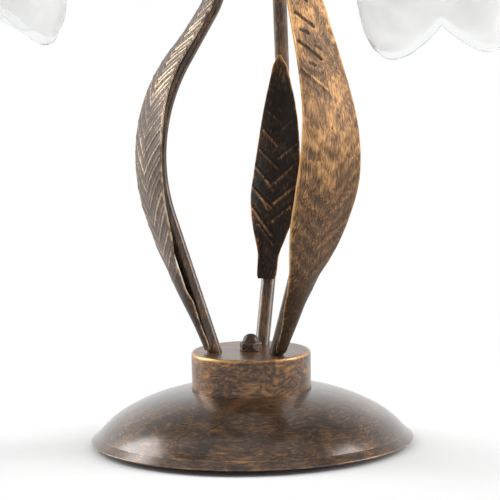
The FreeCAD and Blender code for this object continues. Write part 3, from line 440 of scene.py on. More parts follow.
def add_piece(name, points, faces, slot, node, values, body="stand", material=None, sharp=35):
    """A mesh piece on a body, in the slot's material unless another is given.

    It is welded, and shaded smooth except at edges sharper than the angle, in degrees.
    """
    mesh = bpy.data.meshes.new(name)
    mesh.from_pydata(points.tolist(), [], faces)
    for title, numbers in values.items():
        layer = mesh.attributes.new(title, "FLOAT", "POINT")
        layer.data.foreach_set("value", np.asarray(numbers, np.float32).ravel())
    work = bmesh.new()
    work.from_mesh(mesh)
    bmesh.ops.remove_doubles(work, verts=work.verts, dist=WELD_DISTANCE)
    bmesh.ops.recalc_face_normals(work, faces=work.faces)
    work.to_mesh(mesh)
    work.free()
    mesh.shade_smooth()
    mesh.set_sharp_from_angle(angle=radians(sharp))
    mesh.materials.append(material or MATERIALS[slot])
    piece = add_object(name, mesh)
    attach(piece, body)
    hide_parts(node)


def placed(points, matrix):
    """Points of any grid, moved by a matrix, as a list of points."""
    turn = np.array(matrix.to_3x3())
    return points.reshape(-1, 3) @ turn.T + np.array(matrix.translation)


def ring_faces(rows, columns, closed_rows, closed_columns):
    """Quads of a grid of points, numbered row by row."""
    faces = []
    for row in range(rows if closed_rows else rows - 1):
        following = (row + 1) % rows
        for column in range(columns if closed_columns else columns - 1):
            beside = (column + 1) % columns
            faces.append((row * columns + column, row * columns + beside,
                          following * columns + beside, following * columns + column))
    return faces


def arc_run(start, end, radius, count=14, side=1):
    """Points between two places of a profile on the shorter arc of that radius."""
    x0, z0 = start
    x1, z1 = end
    half = dist(start, end) / 2
    across = (-(z1 - z0) / half / 2, (x1 - x0) / half / 2)
    offset = side * sqrt(radius ** 2 - half ** 2)
    centre = ((x0 + x1) / 2 + across[0] * offset, (z0 + z1) / 2 + across[1] * offset)
    first = atan2(z0 - centre[1], x0 - centre[0])
    last = atan2(z1 - centre[1], x1 - centre[0])
    turn = (last - first + pi) % (2 * pi) - pi
    angles = [first + turn * step / count for step in range(1, count)]
    return [(centre[0] + radius * cos(a), centre[1] + radius * sin(a), 0) for a in angles]


def rounded(corners, steps=5):
    """A profile of (radius, height, fillet) corners as rows of (radius, height, edge gold).

    The edge gold along each fillet is worn gold together with a painted highlight on the rounding.
    """
    rows = []
    count = len(corners)
    for index, corner in enumerate(corners):
        place = Vector(corner[:2])
        fillet = corner[2]
        if not fillet:
            rows.append((place.x, place.y, 0))
            continue
        back = Vector(corners[index - 1][:2]) - place
        ahead = Vector(corners[(index + 1) % count][:2]) - place
        angle = back.angle(ahead)
        reach = min(fillet / tan(angle / 2), back.length * FILLET_SHARE, ahead.length * FILLET_SHARE)
        radius = reach * tan(angle / 2)
        back.normalize()
        ahead_length = ahead.length
        ahead.normalize()
        centre = place + (back + ahead).normalized() * (radius / sin(angle / 2))
        start = place + back * reach
        end = place + ahead * reach
        guard = min(EDGE_GUARD, reach)
        rows.append((*(start + back * guard), 0))
        for step in range(steps + 1):
            blend = step / steps
            spoke = (start - centre).lerp(end - centre, blend).normalized() * radius
            rows.append((*(centre + spoke), sin(pi * blend) if 0 < step < steps else END_WEAR_AND_HIGHLIGHT))
        rows.append((*(end + ahead * min(guard, ahead_length * GUARD_SHARE)), 0))
    return np.array(rows)


def turned(name, profile_at, slot, node, matrix=Matrix(), steps=128, extra=None, body="stand"):
    """A turned piece: profile_at(angle) gives rows of (radius, height, edge gold) round +Z; the edge gold is worn
    gold with a painted highlight.
    """
    angles = [2 * pi * step / steps for step in range(steps)]
    rows = np.array([profile_at(angle) for angle in angles])
    cosines = np.cos(angles)[:, None]
    sines = np.sin(angles)[:, None]
    grid = np.stack([rows[:, :, 0] * cosines, rows[:, :, 0] * sines, rows[:, :, 1]], axis=2)
    open_profile = rows[0, 0, 0] == 0 and rows[0, -1, 0] == 0
    faces = ring_faces(steps, rows.shape[1], True, not open_profile)
    values = {"wear_and_painted_light": rows[:, :, 2]}
    if extra:
        values.update(extra(grid))
    add_piece(name, placed(grid, matrix), faces, slot, node, values, body)


def lathe(name, corners, slot, node, matrix=Matrix(), steps=128):
    """A turned piece from (radius, height, fillet) corners."""
    profile = rounded(corners)
    turned(name, lambda angle: profile, slot, node, matrix, steps)


class BentLine:
    """Straight runs joined by tangent arcs. at() gives the place and direction at a distance."""

    def __init__(self, corners):
        self.runs = []
        start = corners[0][0]
        for before, (corner, radius), after in zip(corners, corners[1:], corners[2:]):
            back = (before[0] - corner).normalized()
            ahead = (after[0] - corner).normalized()
            half = (pi - back.angle(ahead)) / 2
            first = corner + back * radius * tan(half)
            centre = corner + (back + ahead).normalized() * radius / cos(half)
            self.add_straight(start, first)
            self.runs.append((2 * half * radius, "arc", centre, (first - centre) / radius, -back, radius))
            start = corner + ahead * radius * tan(half)
        self.add_straight(start, corners[-1][0])
        self.length = sum(run[0] for run in self.runs)

    def add_straight(self, start, end):
        self.runs.append(((end - start).length, "straight", start, (end - start).normalized()))

    def at(self, distance):
        for run in self.runs:
            if distance <= run[0] or run is self.runs[-1]:
                break
            distance -= run[0]
        if run[1] == "straight":
            return run[2] + run[3] * distance, run[3]
        centre, spoke, ahead, radius = run[2:]
        angle = distance / radius
        place = centre + (spoke * cos(angle) + ahead * sin(angle)) * radius
        return place, ahead * cos(angle) - spoke * sin(angle)


def head_matrix(arm):
    """Where a head is: origin in the middle of the shade's mouth, +Z up its axis."""
    joint = next(joint for joint in frame["joints"] if joint["name"] == "ring_%s_turn" % arm)
    axis = Vector(joint["axis"])
    turn = UP.rotation_difference(axis) @ Quaternion(UP, radians(BENDS[arm]["azimuth"]))
    mouth = Vector(joint["pos_m"]) - axis * RING_MIDDLE
    return Matrix.Translation(mouth) @ turn.to_matrix().to_4x4()


def arm_matrix(arm):
    return Matrix.Rotation(radians(BENDS[arm]["azimuth"]), 4, "Z")


def arm_corners(arm):
    """Corners and bend radii of an arm's centre line, in the arm's own frame."""
    head = arm_matrix(arm).inverted() @ head_matrix(arm)
    end = head @ Vector((0, 0, TUBE_END))
    arch = head @ Vector((0, 0, TUBE_END + END_RUN))
    crown = Vector((arch.x - CROWN_SPAN, arch.y * CROWN_SIDE, arch.z))
    bends = BENDS[arm]
    bulge, bulge_height = bends["bulge"]
    waist, waist_height = bends["waist"]
    return [
        (Vector((FOOT_REACH, 0, FOOT_LOW)), 0),
        (Vector((FOOT_REACH, 0, FOOT_BEND_HEIGHT)), FOOT_BEND),
        (Vector((bulge * MM, 0, bulge_height * MM)), bends["bulge_bend"] * MM),
        (Vector((waist * MM, 0, waist_height * MM)), WAIST_BEND),
        (crown, CROWN_BEND),
        (arch, HEAD_BEND),
        (end, 0),
    ]


# ---- foot and drum

def make_dish():
    """Domed foot: two arcs down to the hem, a thin rim, and the same inside."""
    hub = (HUB_RADIUS, DISH_TOP)
    knee = (KNEE_RADIUS, KNEE_HEIGHT)
    hem = (HEM_RADIUS, HEM_HEIGHT)
    # Fillets get edge gold through rounded(): worn gold with a painted highlight along the hem and the rim.
    outside = [
        (*hub, 0.6 * MM), *arc_run(hub, knee, DOME_CURVE, 16, -1),
        (*knee, 0), *arc_run(knee, hem, SHOULDER_CURVE, 12, -1),
        (*hem, 2.5 * MM), (DISH_RADIUS, RIM_GAP + RIM_LIP, BROKEN),
        (DISH_RADIUS, RIM_GAP, EASED), (DISH_RADIUS - DISH_WALL, RIM_GAP, CRISP),
    ]
    inner_hem = (HEM_RADIUS - DISH_WALL, HEM_HEIGHT - DISH_WALL)
    inner_knee = (KNEE_RADIUS - DISH_WALL / 2, KNEE_HEIGHT - DISH_WALL)
    inner_hub = (HUB_RADIUS, DISH_TOP - DISH_WALL)
    inside = [
        (*inner_hem, 0), *arc_run(inner_hem, inner_knee, SHOULDER_CURVE, 8),
        (*inner_knee, 0), *arc_run(inner_knee, inner_hub, DOME_CURVE, 8),
        (*inner_hub, 0), (ROD_HOLE, DISH_TOP - DISH_WALL, 0), (ROD_HOLE, DISH_TOP, 0),
    ]
    lathe("dish", outside + inside, "dish_bronze", "base_dish", steps=256)


def make_drum():
    """Upturned cup that hides the joints of the arms."""
    # Its fillets get edge gold: worn gold with a painted highlight along the top edge.
    corners = [
        (ROD_HOLE, DRUM_TOP, CRISP),
        (DRUM_RADIUS, DRUM_TOP, DRUM_EDGE),
        (DRUM_RADIUS, DISH_TOP, EASED),
        (DRUM_RADIUS - DRUM_WALL, DISH_TOP, CRISP),
        (DRUM_RADIUS - DRUM_WALL, DRUM_TOP - DRUM_WALL, SOFT),
        (ROD_HOLE, DRUM_TOP - DRUM_WALL, 0),
    ]
    lathe("drum", corners, "drum_bronze", "drum_cup", steps=192)


def hexagon_radius(angle, flats):
    """Distance from the middle of a hexagon to its side at an angle."""
    sixth = pi / 3
    return flats / 2 / cos(angle % sixth - sixth / 2)


def make_cap_nut():
    """Hexagon with turned-off corners under a dome, and the washer below it."""
    low = DRUM_TOP + WASHER_THICK
    dome_low = low + CAP_HEX_HEIGHT
    corner = CAP_FLATS / sqrt(3)
    # The third number of each row is edge gold: worn gold with a painted highlight on the bevels and the dome.
    turning = [(0, low, 0), (corner - CAP_BEVEL, low, 0), (corner, low + CAP_BEVEL, 1)]
    side_height = CAP_HEX_HEIGHT - 2 * CAP_BEVEL
    turning += [(corner, low + CAP_BEVEL + side_height * step / HEX_ROWS, 0.2) for step in range(1, HEX_ROWS)]
    turning += [(corner, dome_low - CAP_BEVEL, 1), (corner - CAP_SHOULDER / 2, dome_low - CAP_BEVEL / 2, 0.8),
                (corner - CAP_SHOULDER, dome_low, 0.5), (CAP_DOME_RADIUS + CRISP, dome_low, 0),
                (CAP_DOME_RADIUS, dome_low + 0.15 * MM, 0.3)]
    for step in range(1, DOME_ROWS + 1):
        angle = pi / 2 * step / DOME_ROWS
        turning.append((CAP_DOME_RADIUS * cos(angle) if step < DOME_ROWS else 0,
                        dome_low + CAP_DOME_RADIUS * sin(angle), 0.1))

    def profile_at(angle):
        side = hexagon_radius(angle, CAP_FLATS)
        return [(min(radius, side), height, wear_and_painted_light) for radius, height, wear_and_painted_light in turning]

    turned("cap_nut_piece", profile_at, "nut_bronze", "cap_nut", steps=96)
    washer = [(ROD_HOLE, DRUM_TOP, 0), (CAP_WASHER_RADIUS, DRUM_TOP, CRISP),
              (CAP_WASHER_RADIUS, low, EASED), (ROD_HOLE, low, 0)]
    lathe("cap_washer_piece", washer, "nut_bronze", "cap_washer", steps=64)


# ---- arms

TUBE_SIDES = 32
TUBE_STEP = 2.5 * MM


def make_tube(arm):
    """The bent tube of one arm, swept along its line."""
    line = BentLine(arm_corners(arm))
    stations = int(line.length / TUBE_STEP)
    side = Vector((0, 1, 0))
    rings = []
    for station in range(stations + 1):
        place, along = line.at(line.length * station / stations)
        side = (side - along * side.dot(along)).normalized()
        third = along.cross(side)
        for corner in range(TUBE_SIDES):
            angle = 2 * pi * corner / TUBE_SIDES
            rings.append(place + (side * cos(angle) + third * sin(angle)) * TUBE_RADIUS)
    faces = ring_faces(stations + 1, TUBE_SIDES, False, True)
    last = stations * TUBE_SIDES
    faces.append(tuple(range(TUBE_SIDES)))
    faces.append(tuple(range(last, last + TUBE_SIDES)))
    points = placed(np.array(rings), arm_matrix(arm))
    add_piece("tube_" + arm, points, faces, "arm_bronze", "arm_tube_" + arm,
              {"wear_and_painted_light": np.zeros(len(points))})


# ---- leaves

LEAF_THICK = 1.1 * MM
LEAF_SEAT = TUBE_RADIUS + 0.1 * MM + LEAF_THICK / 2
LEAF_BOW_RADIUS = 160 * MM
GRID_STEP = 0.62 * MM
PLAIN_EDGE = 0.06
# How far in from a leaf's edge its worn gold and painted highlight reach.
WEAR_AND_HIGHLIGHT_REACH = 0.6
FULL_RELIEF = 0.6 * MM
# Rounding of a leaf's edge: height from its middle and reach past its width.
LEAF_RIM = LEAF_THICK * 0.3
LEAF_EDGE = ((0, LEAF_RIM), (LEAF_THICK * 0.36, LEAF_RIM * 0.7), (-LEAF_THICK * 0.36, LEAF_RIM * 0.7))

# Share of a leaf's length, share of its width.
LARGE_OUTLINE = ((0, 0.14), (0.012, 0.17), (0.035, 0.18), (0.077, 0.23), (0.119, 0.3), (0.162, 0.39),
                 (0.203, 0.49), (0.245, 0.65), (0.289, 0.8), (0.34, 0.92), (0.39, 0.98), (0.43, 1),
                 (0.52, 0.92), (0.6, 0.8), (0.68, 0.7), (0.76, 0.62), (0.84, 0.55), (0.9, 0.44),
                 (0.95, 0.3), (0.985, 0.16), (1, 0.07))
SMALL_OUTLINE = ((0, 0.34), (0.019, 0.39), (0.095, 0.42), (0.19, 0.66), (0.285, 0.9), (0.38, 1),
                 (0.523, 0.93), (0.666, 0.8), (0.8, 0.6), (0.894, 0.4), (0.95, 0.28), (0.975, 0.16),
                 (1, 0.04))
# Share of the length, share of the stand-off from the tube, of the bow radius and of the twist.
STANDS = {
    "left": ((0, 0), (0.06, 0.2), (0.12, 0.56), (0.18, 0.88), (0.24, 0.92), (0.3, 0.74), (0.52, 0.64),
             (0.6, 0.6), (0.66, 0.5), (0.7, 0.34), (0.76, 0.1), (0.84, 0), (1, 0)),
    "right": ((0, 0), (0.06, 0.35), (0.12, 0.6), (0.162, 0.68), (0.203, 0.74), (0.245, 0.78),
              (0.3, 0.82), (0.55, 0.86), (0.66, 1), (0.84, 0.75), (0.93, 0.3), (1, 0)),
    "back": ((0, 0), (0.3, 1), (0.6, 1), (1, 0)),
}
LARGE_BOW = ((0, 0), (0.04, 0.006), (0.12, 0.03), (0.2, 0.14), (0.3, 1), (0.84, 1), (0.93, 0.14),
             (1, 0))
SMALL_BOW = ((0, 0.2), (0.2, 0.3), (0.8, 0.3), (1, 0.02))
TWIST = ((0, 0), (0.2, 0.4), (0.3, 1), (0.55, 1), (0.75, 0.1), (1, 0))

# Start, length, width and belly are millimetres, and facing is 1 on the arm's outer side.
LARGE_LEAF = {"outline": LARGE_OUTLINE, "bow": LARGE_BOW, "start": 4, "length": 300, "width": 58,
              "belly": 12.7, "facing": 1}
SMALL_LEAF = {"outline": SMALL_OUTLINE, "bow": SMALL_BOW, "start": 46, "length": 164, "width": 35,
              "belly": 7, "facing": -1}
LEAVES = {"left": LARGE_LEAF, "right": LARGE_LEAF, "back": SMALL_LEAF}


def read_smoothly(knots, shares):
    """Values of a smooth curve through (share, value) knots, without overshoot."""
    x = np.array([knot[0] for knot in knots])
    y = np.array([knot[1] for knot in knots])
    slopes = np.diff(y) / np.diff(x)
    tangents = np.concatenate([slopes[:1], np.zeros(len(slopes) - 1), slopes[-1:]])
    for index in range(1, len(slopes)):
        before, after = slopes[index - 1], slopes[index]
        if before * after > 0:
            tangents[index] = 2 * before * after / (before + after)
    spot = np.clip(np.searchsorted(x, shares, side="right") - 1, 0, len(slopes) - 1)
    width = x[spot + 1] - x[spot]
    t = (shares - x[spot]) / width
    return ((1 + 2 * t) * (1 - t) ** 2 * y[spot] + t * (1 - t) ** 2 * width * tangents[spot]
            + t ** 2 * (3 - 2 * t) * y[spot + 1] + t ** 2 * (t - 1) * width * tangents[spot + 1])


def read_at_stations(knots, outline, shares):
    """A curve as the CAD has it: straight between its knots, and smooth between the sections."""
    stations = [knot[0] for knot in outline]
    values = np.interp(stations, [k[0] for k in knots], [k[1] for k in knots])
    return read_smoothly(tuple(zip(stations, values)), shares)


def fade(values, start, end):
    """0 at start, 1 at end, smooth between."""
    t = np.clip((values - start) / (end - start), 0, 1)
    return t * t * (3 - 2 * t)


def between(share, start, end):
    """1 from the end of the first span to the start of the second, fading over both."""
    return fade(share, *start) * (1 - fade(share, *end))


RIB_PITCH = 11.2
RIB_RISE = 0.84
RIB_FIRST = 5.4
RIB_STRENGTHS = 256

# Rows of ribs: height, place of the first, pitch and half width in millimetres, the seed of
# their strengths and how uneven these are.
RIGHT_BANDS = (0.34, RIB_FIRST, RIB_PITCH, 2.6, 3, 0.4)
RIGHT_VEINS = (0.16, RIB_FIRST, RIB_PITCH, 1.2, 4, 0.4)
LEFT_RIBS = (0.62, RIB_FIRST, RIB_PITCH, 0.95, 5, 0.4)
LEFT_VEINS = (0.3, 9.6, RIB_PITCH, 0.8, 6, 0.4)
LEFT_HATCHING = (0.95, RIB_FIRST, RIB_PITCH / 2, 1, 7, 0.6)
LEFT_TOP_RIBS = (0.4, RIB_FIRST, RIB_PITCH, 1, 8, 0.4)

# Spans over which the rows fade in and out: shares of the length, or millimetres from the
# middle for those across the leaf.
RIGHT_BANDS_IN, RIGHT_BANDS_OUT = (0.14, 0.22), (0.5, 0.62)
RIGHT_VEINS_IN = (0.55, 0.65)
LEFT_RIBS_IN, LEFT_RIBS_OUT = (0.14, 0.24), (0.6, 0.68)
LEFT_TOP_IN, LEFT_TOP_OUT = (0.56, 0.64), (0.93, 0.97)
RIGHT_MIDDLE = (-2, 2)
LEFT_MIDDLE = (-6, -1)


def ribs(along, across, row):
    """Height of a row of V-shaped ribs that point down the leaf, all in millimetres."""
    height, first, pitch, width, seed, uneven = row
    phase = (along - first - RIB_RISE * np.abs(across)) / pitch
    number = np.round(phase)
    off = (phase - number) * pitch / sqrt(1 + RIB_RISE ** 2)
    strengths = 1 - uneven * np.random.default_rng(seed).random(RIB_STRENGTHS)
    return height * (np.exp(-(off / width) ** 2) * strengths[number.astype(int) % RIB_STRENGTHS])


def stroke(along, across, start, end, width):
    """A straight mark between two (along, across) places: 1 on its line, 0 away from it."""
    run = np.array(end) - np.array(start)
    length = np.hypot(*run)
    share = ((along - start[0]) * run[0] + (across - start[1]) * run[1]) / length ** 2
    nearest = np.clip(share, 0, 1)
    off = np.hypot(along - start[0] - nearest * run[0], across - start[1] - nearest * run[1])
    return np.exp(-(off / width) ** 2)


def strokes_with_lips(share, along, across, half, strokes, lip_offset):
    """Each stroke of a list with its depth, its mark and the mark of the lip beside it."""
    for start, end, width, depth in strokes:
        span = np.interp([start[0], end[0]], share[:, 0], half[:, 0])
        ends = [(place[0] * along[-1, 0], place[1] * wide) for place, wide in zip((start, end), span)]
        lip = stroke(along + width * lip_offset, across, *ends, width)
        yield depth, stroke(along, across, *ends, width), lip


# Marks pressed into the right leaf: share of length and of half width at both ends, half
# width and depth in millimetres.
RIGHT_SLOTS = (
    ((0.865, -0.75), (0.835, 0), 1, 0.8),
    ((0.81, -0.72), (0.775, 0.03), 1.1, 0.9),
    ((0.77, -0.62), (0.76, -0.31), 1, 0.7),
    ((0.745, -0.84), (0.699, 0), 1.1, 0.9),
    ((0.731, -0.11), (0.72, 0.13), 0.9, 0.5),
    ((0.693, -0.51), (0.686, -0.33), 1, 0.7),
    ((0.678, -0.82), (0.627, 0.02), 1, -0.6),
)
RIGHT_PITS = ((0.816, -0.09), (0.74, -0.1), (0.667, -0.06), (0.648, 0.2), (0.657, 0.45), (0.57, 0.26),
              (0.549, -0.04))
PIT_DEPTH = 0.4
PIT_RADIUS = 0.8
RIGHT_LIP_OFFSET = 1.5
RIGHT_LIP_SHARE = 0.3


def relief_right(share, along, across, half):
    height = ribs(along, across, RIGHT_BANDS) * between(share, RIGHT_BANDS_IN, RIGHT_BANDS_OUT)
    height += ribs(along, across, RIGHT_VEINS) * fade(across, *RIGHT_MIDDLE) * fade(share, *RIGHT_VEINS_IN)
    for depth, mark, lip in strokes_with_lips(share, along, across, half, RIGHT_SLOTS, RIGHT_LIP_OFFSET):
        height += RIGHT_LIP_SHARE * abs(depth) * lip - depth * mark
    for place, out in RIGHT_PITS:
        wide = np.interp(place, share[:, 0], half[:, 0])
        off = np.hypot(along - place * along[-1, 0], across - out * wide)
        height -= PIT_DEPTH * np.exp(-(off / PIT_RADIUS) ** 2)
    return height


def relief_left(share, along, across, half):
    body = between(share, LEFT_RIBS_IN, LEFT_RIBS_OUT)
    top = between(share, LEFT_TOP_IN, LEFT_TOP_OUT)
    right_half = fade(across, *LEFT_MIDDLE)
    height = (ribs(along, across, LEFT_RIBS) + ribs(along, across, LEFT_VEINS)) * body
    height += ribs(along, across, LEFT_HATCHING) * top * right_half
    height += ribs(along, across, LEFT_TOP_RIBS) * top * (1 - right_half)
    return height


# Strokes raised on the small leaf: share of length and of half width at both ends, half
# width and height in millimetres.
BACK_STROKES = (
    ((0.74, -0.55), (0.7, 0.1), 1, 0.35),
    ((0.71, 0.75), (0.66, 0.15), 1, 0.35),
    ((0.66, -0.75), (0.59, 0), 1.1, 0.5),
    ((0.6, 0.85), (0.53, 0.1), 1.2, 0.5),
    ((0.57, -0.8), (0.49, 0.05), 1, 0.6),
    ((0.51, 0.8), (0.42, 0.05), 1.2, 0.6),
    ((0.49, -0.88), (0.41, -0.1), 1.1, 0.7),
    ((0.43, -0.35), (0.385, 0), 0.9, 0.6),
    ((0.41, 0.82), (0.33, 0.08), 1.2, 0.6),
    ((0.4, -0.9), (0.31, -0.05), 1.1, 0.8),
    ((0.35, -0.45), (0.3, -0.15), 0.9, 0.7),
    ((0.32, 0.75), (0.25, 0.1), 1.1, 0.5),
    ((0.305, -0.85), (0.19, 0.1), 1.1, 0.8),
    ((0.235, -0.6), (0.15, 0.3), 0.9, 0.5),
)
BACK_LIP_OFFSET = -1.6
BACK_LIP_SHARE = 0.6
HOLLOW_PLACE = 0.8
HOLLOW_DEPTH = 0.8
HOLLOW_RADIUS = 3
HOLLOW_STRETCH = 1.3
HOLLOW_SIDE = 0.5


def relief_back(share, along, across, half):
    height = 0 * along
    for depth, mark, lip in strokes_with_lips(share, along, across, half, BACK_STROKES, BACK_LIP_OFFSET):
        height += depth * mark - BACK_LIP_SHARE * depth * lip
    off = np.hypot((along - HOLLOW_PLACE * along[-1, 0]) / HOLLOW_STRETCH, across - HOLLOW_SIDE)
    return height - HOLLOW_DEPTH * np.exp(-(off / HOLLOW_RADIUS) ** 2)


# Share of the length, and the painted light there: above 0 lighter and more golden, below 0 darker, painted shade;
# the back leaf's tip gets a painted highlight.
LEAF_PAINTED_LIGHT = {
    "left": ((0, -0.1), (0.3, 0), (0.6, 0), (1, -0.2)),
    "right": ((0, -0.5), (0.2, -0.35), (0.35, -0.2), (0.5, 0), (0.7, 0.12), (1, 0.2)),
    "back": ((0, 0), (0.5, -0.1), (0.8, -0.2), (0.93, 0.2), (1, 0.5)),
}
RELIEFS = {"left": relief_left, "right": relief_right, "back": relief_back}


def leaf_frames(arm, leaf, shares):
    """Place, outward and side direction of the leaf's midline at each share of its length."""
    corners = arm_corners(arm)[1:]
    foot = corners[0][0]
    ahead = corners[1][0] - foot
    corners[0] = (foot + ahead * ((DRUM_TOP - foot.z) / ahead.z), 0)
    line = BentLine(corners)
    twists = read_at_stations(TWIST, leaf["outline"], shares) * radians(BENDS[arm]["leaf_turn"])
    frames = []
    for share, twist in zip(shares, twists):
        place, along = line.at((leaf["start"] + leaf["length"] * share) * MM)
        outward = Quaternion(along, twist) @ Vector((along.z, 0, -along.x)).normalized() * leaf["facing"]
        frames.append((place, outward, along.cross(outward).normalized()))
    return [np.array([frame_row[part] for frame_row in frames])[:, None, :] for part in range(3)]


def make_leaf(arm):
    """A sheet leaf with its embossing, closed round its edges and ends."""
    leaf = LEAVES[arm]
    rows = int(leaf["length"] * MM / GRID_STEP)
    columns = int(leaf["width"] * MM / GRID_STEP)
    shares = np.linspace(0, 1, rows)
    across = np.linspace(-1, 1, columns)[None, :]
    widths = read_smoothly(leaf["outline"], shares) * leaf["width"] * MM
    stand_shares = read_at_stations(STANDS[arm], leaf["outline"], shares)
    bow_shares = read_at_stations(leaf["bow"], leaf["outline"], shares)
    stands = LEAF_SEAT + (leaf["belly"] * MM - LEAF_SEAT) * stand_shares
    bows = LEAF_SEAT + (LEAF_BOW_RADIUS - LEAF_SEAT) * bow_shares
    stands, bows, widths = stands[:, None], bows[:, None], widths[:, None]
    place, outward, side = leaf_frames(arm, leaf, shares)
    half_angle = np.arcsin(widths / 2 / bows)
    half_width = half_angle * bows / MM
    relief = RELIEFS[arm](shares[:, None], shares[:, None] * leaf["length"] + 0 * across,
                          half_width * across, half_width)
    relief *= fade(1 - np.abs(across), 0, PLAIN_EDGE) * MM

    def at(height, angle, over=0):
        radius = (bows + height)[:, :, None]
        angle = angle[:, :, None]
        tangent = side * np.cos(angle) - outward * np.sin(angle)
        return (place + outward * ((stands - bows)[:, :, None] + radius * np.cos(angle))
                + side * radius * np.sin(angle) + tangent * over)

    angles = half_angle * across
    face = at(relief + LEAF_THICK / 2, angles)
    back = at(relief - LEAF_THICK / 2, angles)[:, ::-1]
    middle, upper, lower = LEAF_EDGE
    left_edge = [at(height, -half_angle, -over) for height, over in (middle, upper, lower)]
    right_edge = [at(height, half_angle, over) for height, over in (upper, middle, lower)]
    grid = np.concatenate([left_edge[0], left_edge[1], face, *right_edge, back, left_edge[2]], axis=1)

    # Painted light and shade along the leaf, on top of the worn gold and painted highlight towards its edges.
    painted_light_along = read_smoothly(LEAF_PAINTED_LIGHT[arm], shares)[:, None]
    edge_wear_and_light = np.exp(-(1 - np.abs(across)) * half_width / WEAR_AND_HIGHLIGHT_REACH) + painted_light_along
    # The relief also goes to the leaf's material, which paints highlights on raised places and shade in pressed
    # ones.
    raised = relief / FULL_RELIEF
    one = np.ones((rows, 1))
    none = np.zeros((rows, 1))
    # The rounded edges get full edge gold: worn gold with a painted highlight.
    wear_and_painted_light = np.concatenate([one, one, edge_wear_and_light, one, one, one, edge_wear_and_light[:, ::-1], one], axis=1)
    bumps = np.concatenate([none, none, raised, none, none, none, raised[:, ::-1], none], axis=1)

    count = grid.shape[1]
    faces = ring_faces(rows, count, False, True)
    for first in (0, (rows - 1) * count):
        faces.append((first, first + 1, first + count - 1))
        middle = count // 2
        faces += [(first + i, first + i + 1, first + count - i - 1, first + count - i)
                  for i in range(1, middle - 1)]
        faces.append((first + middle - 1, first + middle, first + middle + 1))
    points = placed(grid, arm_matrix(arm))
    # Each leaf gets its own copy of the bronze, with its painted light and shade.
    add_piece("leaf_piece_" + arm, points, faces, "leaf_bronze", "leaf_" + arm,
              {"wear_and_painted_light": wear_and_painted_light, "relief": bumps}, material=LEAF_LIT_AND_SHADED_MATERIALS[arm], sharp=60)


# ---- heads

PETALS = 4
PETAL_STEPS = 56
LIP_ROWS = 12
LIP_ZONE = 10 * MM
LIP_STEPS = 6
WALL_ROWS = 44
NECK_EASE = 0.8 * MM
NECK_ROUND = 0.9 * MM
NECK_BEVEL = 0.25 * MM


def shade_knots(inset, top):
    """Height, lobe offset and lobe radius of the tulip's sections, from mouth to neck."""
    knots = [(0, MOUTH_OFFSET, MOUTH_LOBE - inset),
             (BELLY_HEIGHT / 2, BELLY_OFFSET, BELLY_LOBE - LIP_TAPER - inset),
             (BELLY_HEIGHT, BELLY_OFFSET, BELLY_LOBE - inset)]
    for rise, spread, turn in SHADE_SHOULDER:
        knots.append((BELLY_HEIGHT + (top - BELLY_HEIGHT) * rise, BELLY_OFFSET * spread,
                      BELLY_LOBE + (SHADE_NECK - BELLY_LOBE) * turn - inset))
    return knots


OUTER_KNOTS = shade_knots(0, SHADE_HEIGHT)
INNER_KNOTS = shade_knots(SHADE_WALL, SHADE_HEIGHT - SHADE_TOP_THICK)


def lobed_radius(angle, heights, knots):
    """Distance of the lobed wall from the shade's axis, in one direction."""
    offset = read_smoothly([(knot[0], knot[1]) for knot in knots], heights)
    lobe = read_smoothly([(knot[0], knot[2]) for knot in knots], heights)
    quarter = 2 * pi / PETALS
    off_peak = angle % quarter - quarter / 2
    return offset * cos(off_peak) + np.sqrt(lobe ** 2 - (offset * sin(off_peak)) ** 2)


def lip_height(angle):
    """Height of the lip in one direction: rounded petals with a sharp notch between them."""
    return NOTCH_HEIGHT * (1 - abs(sin(angle * PETALS / 2)))


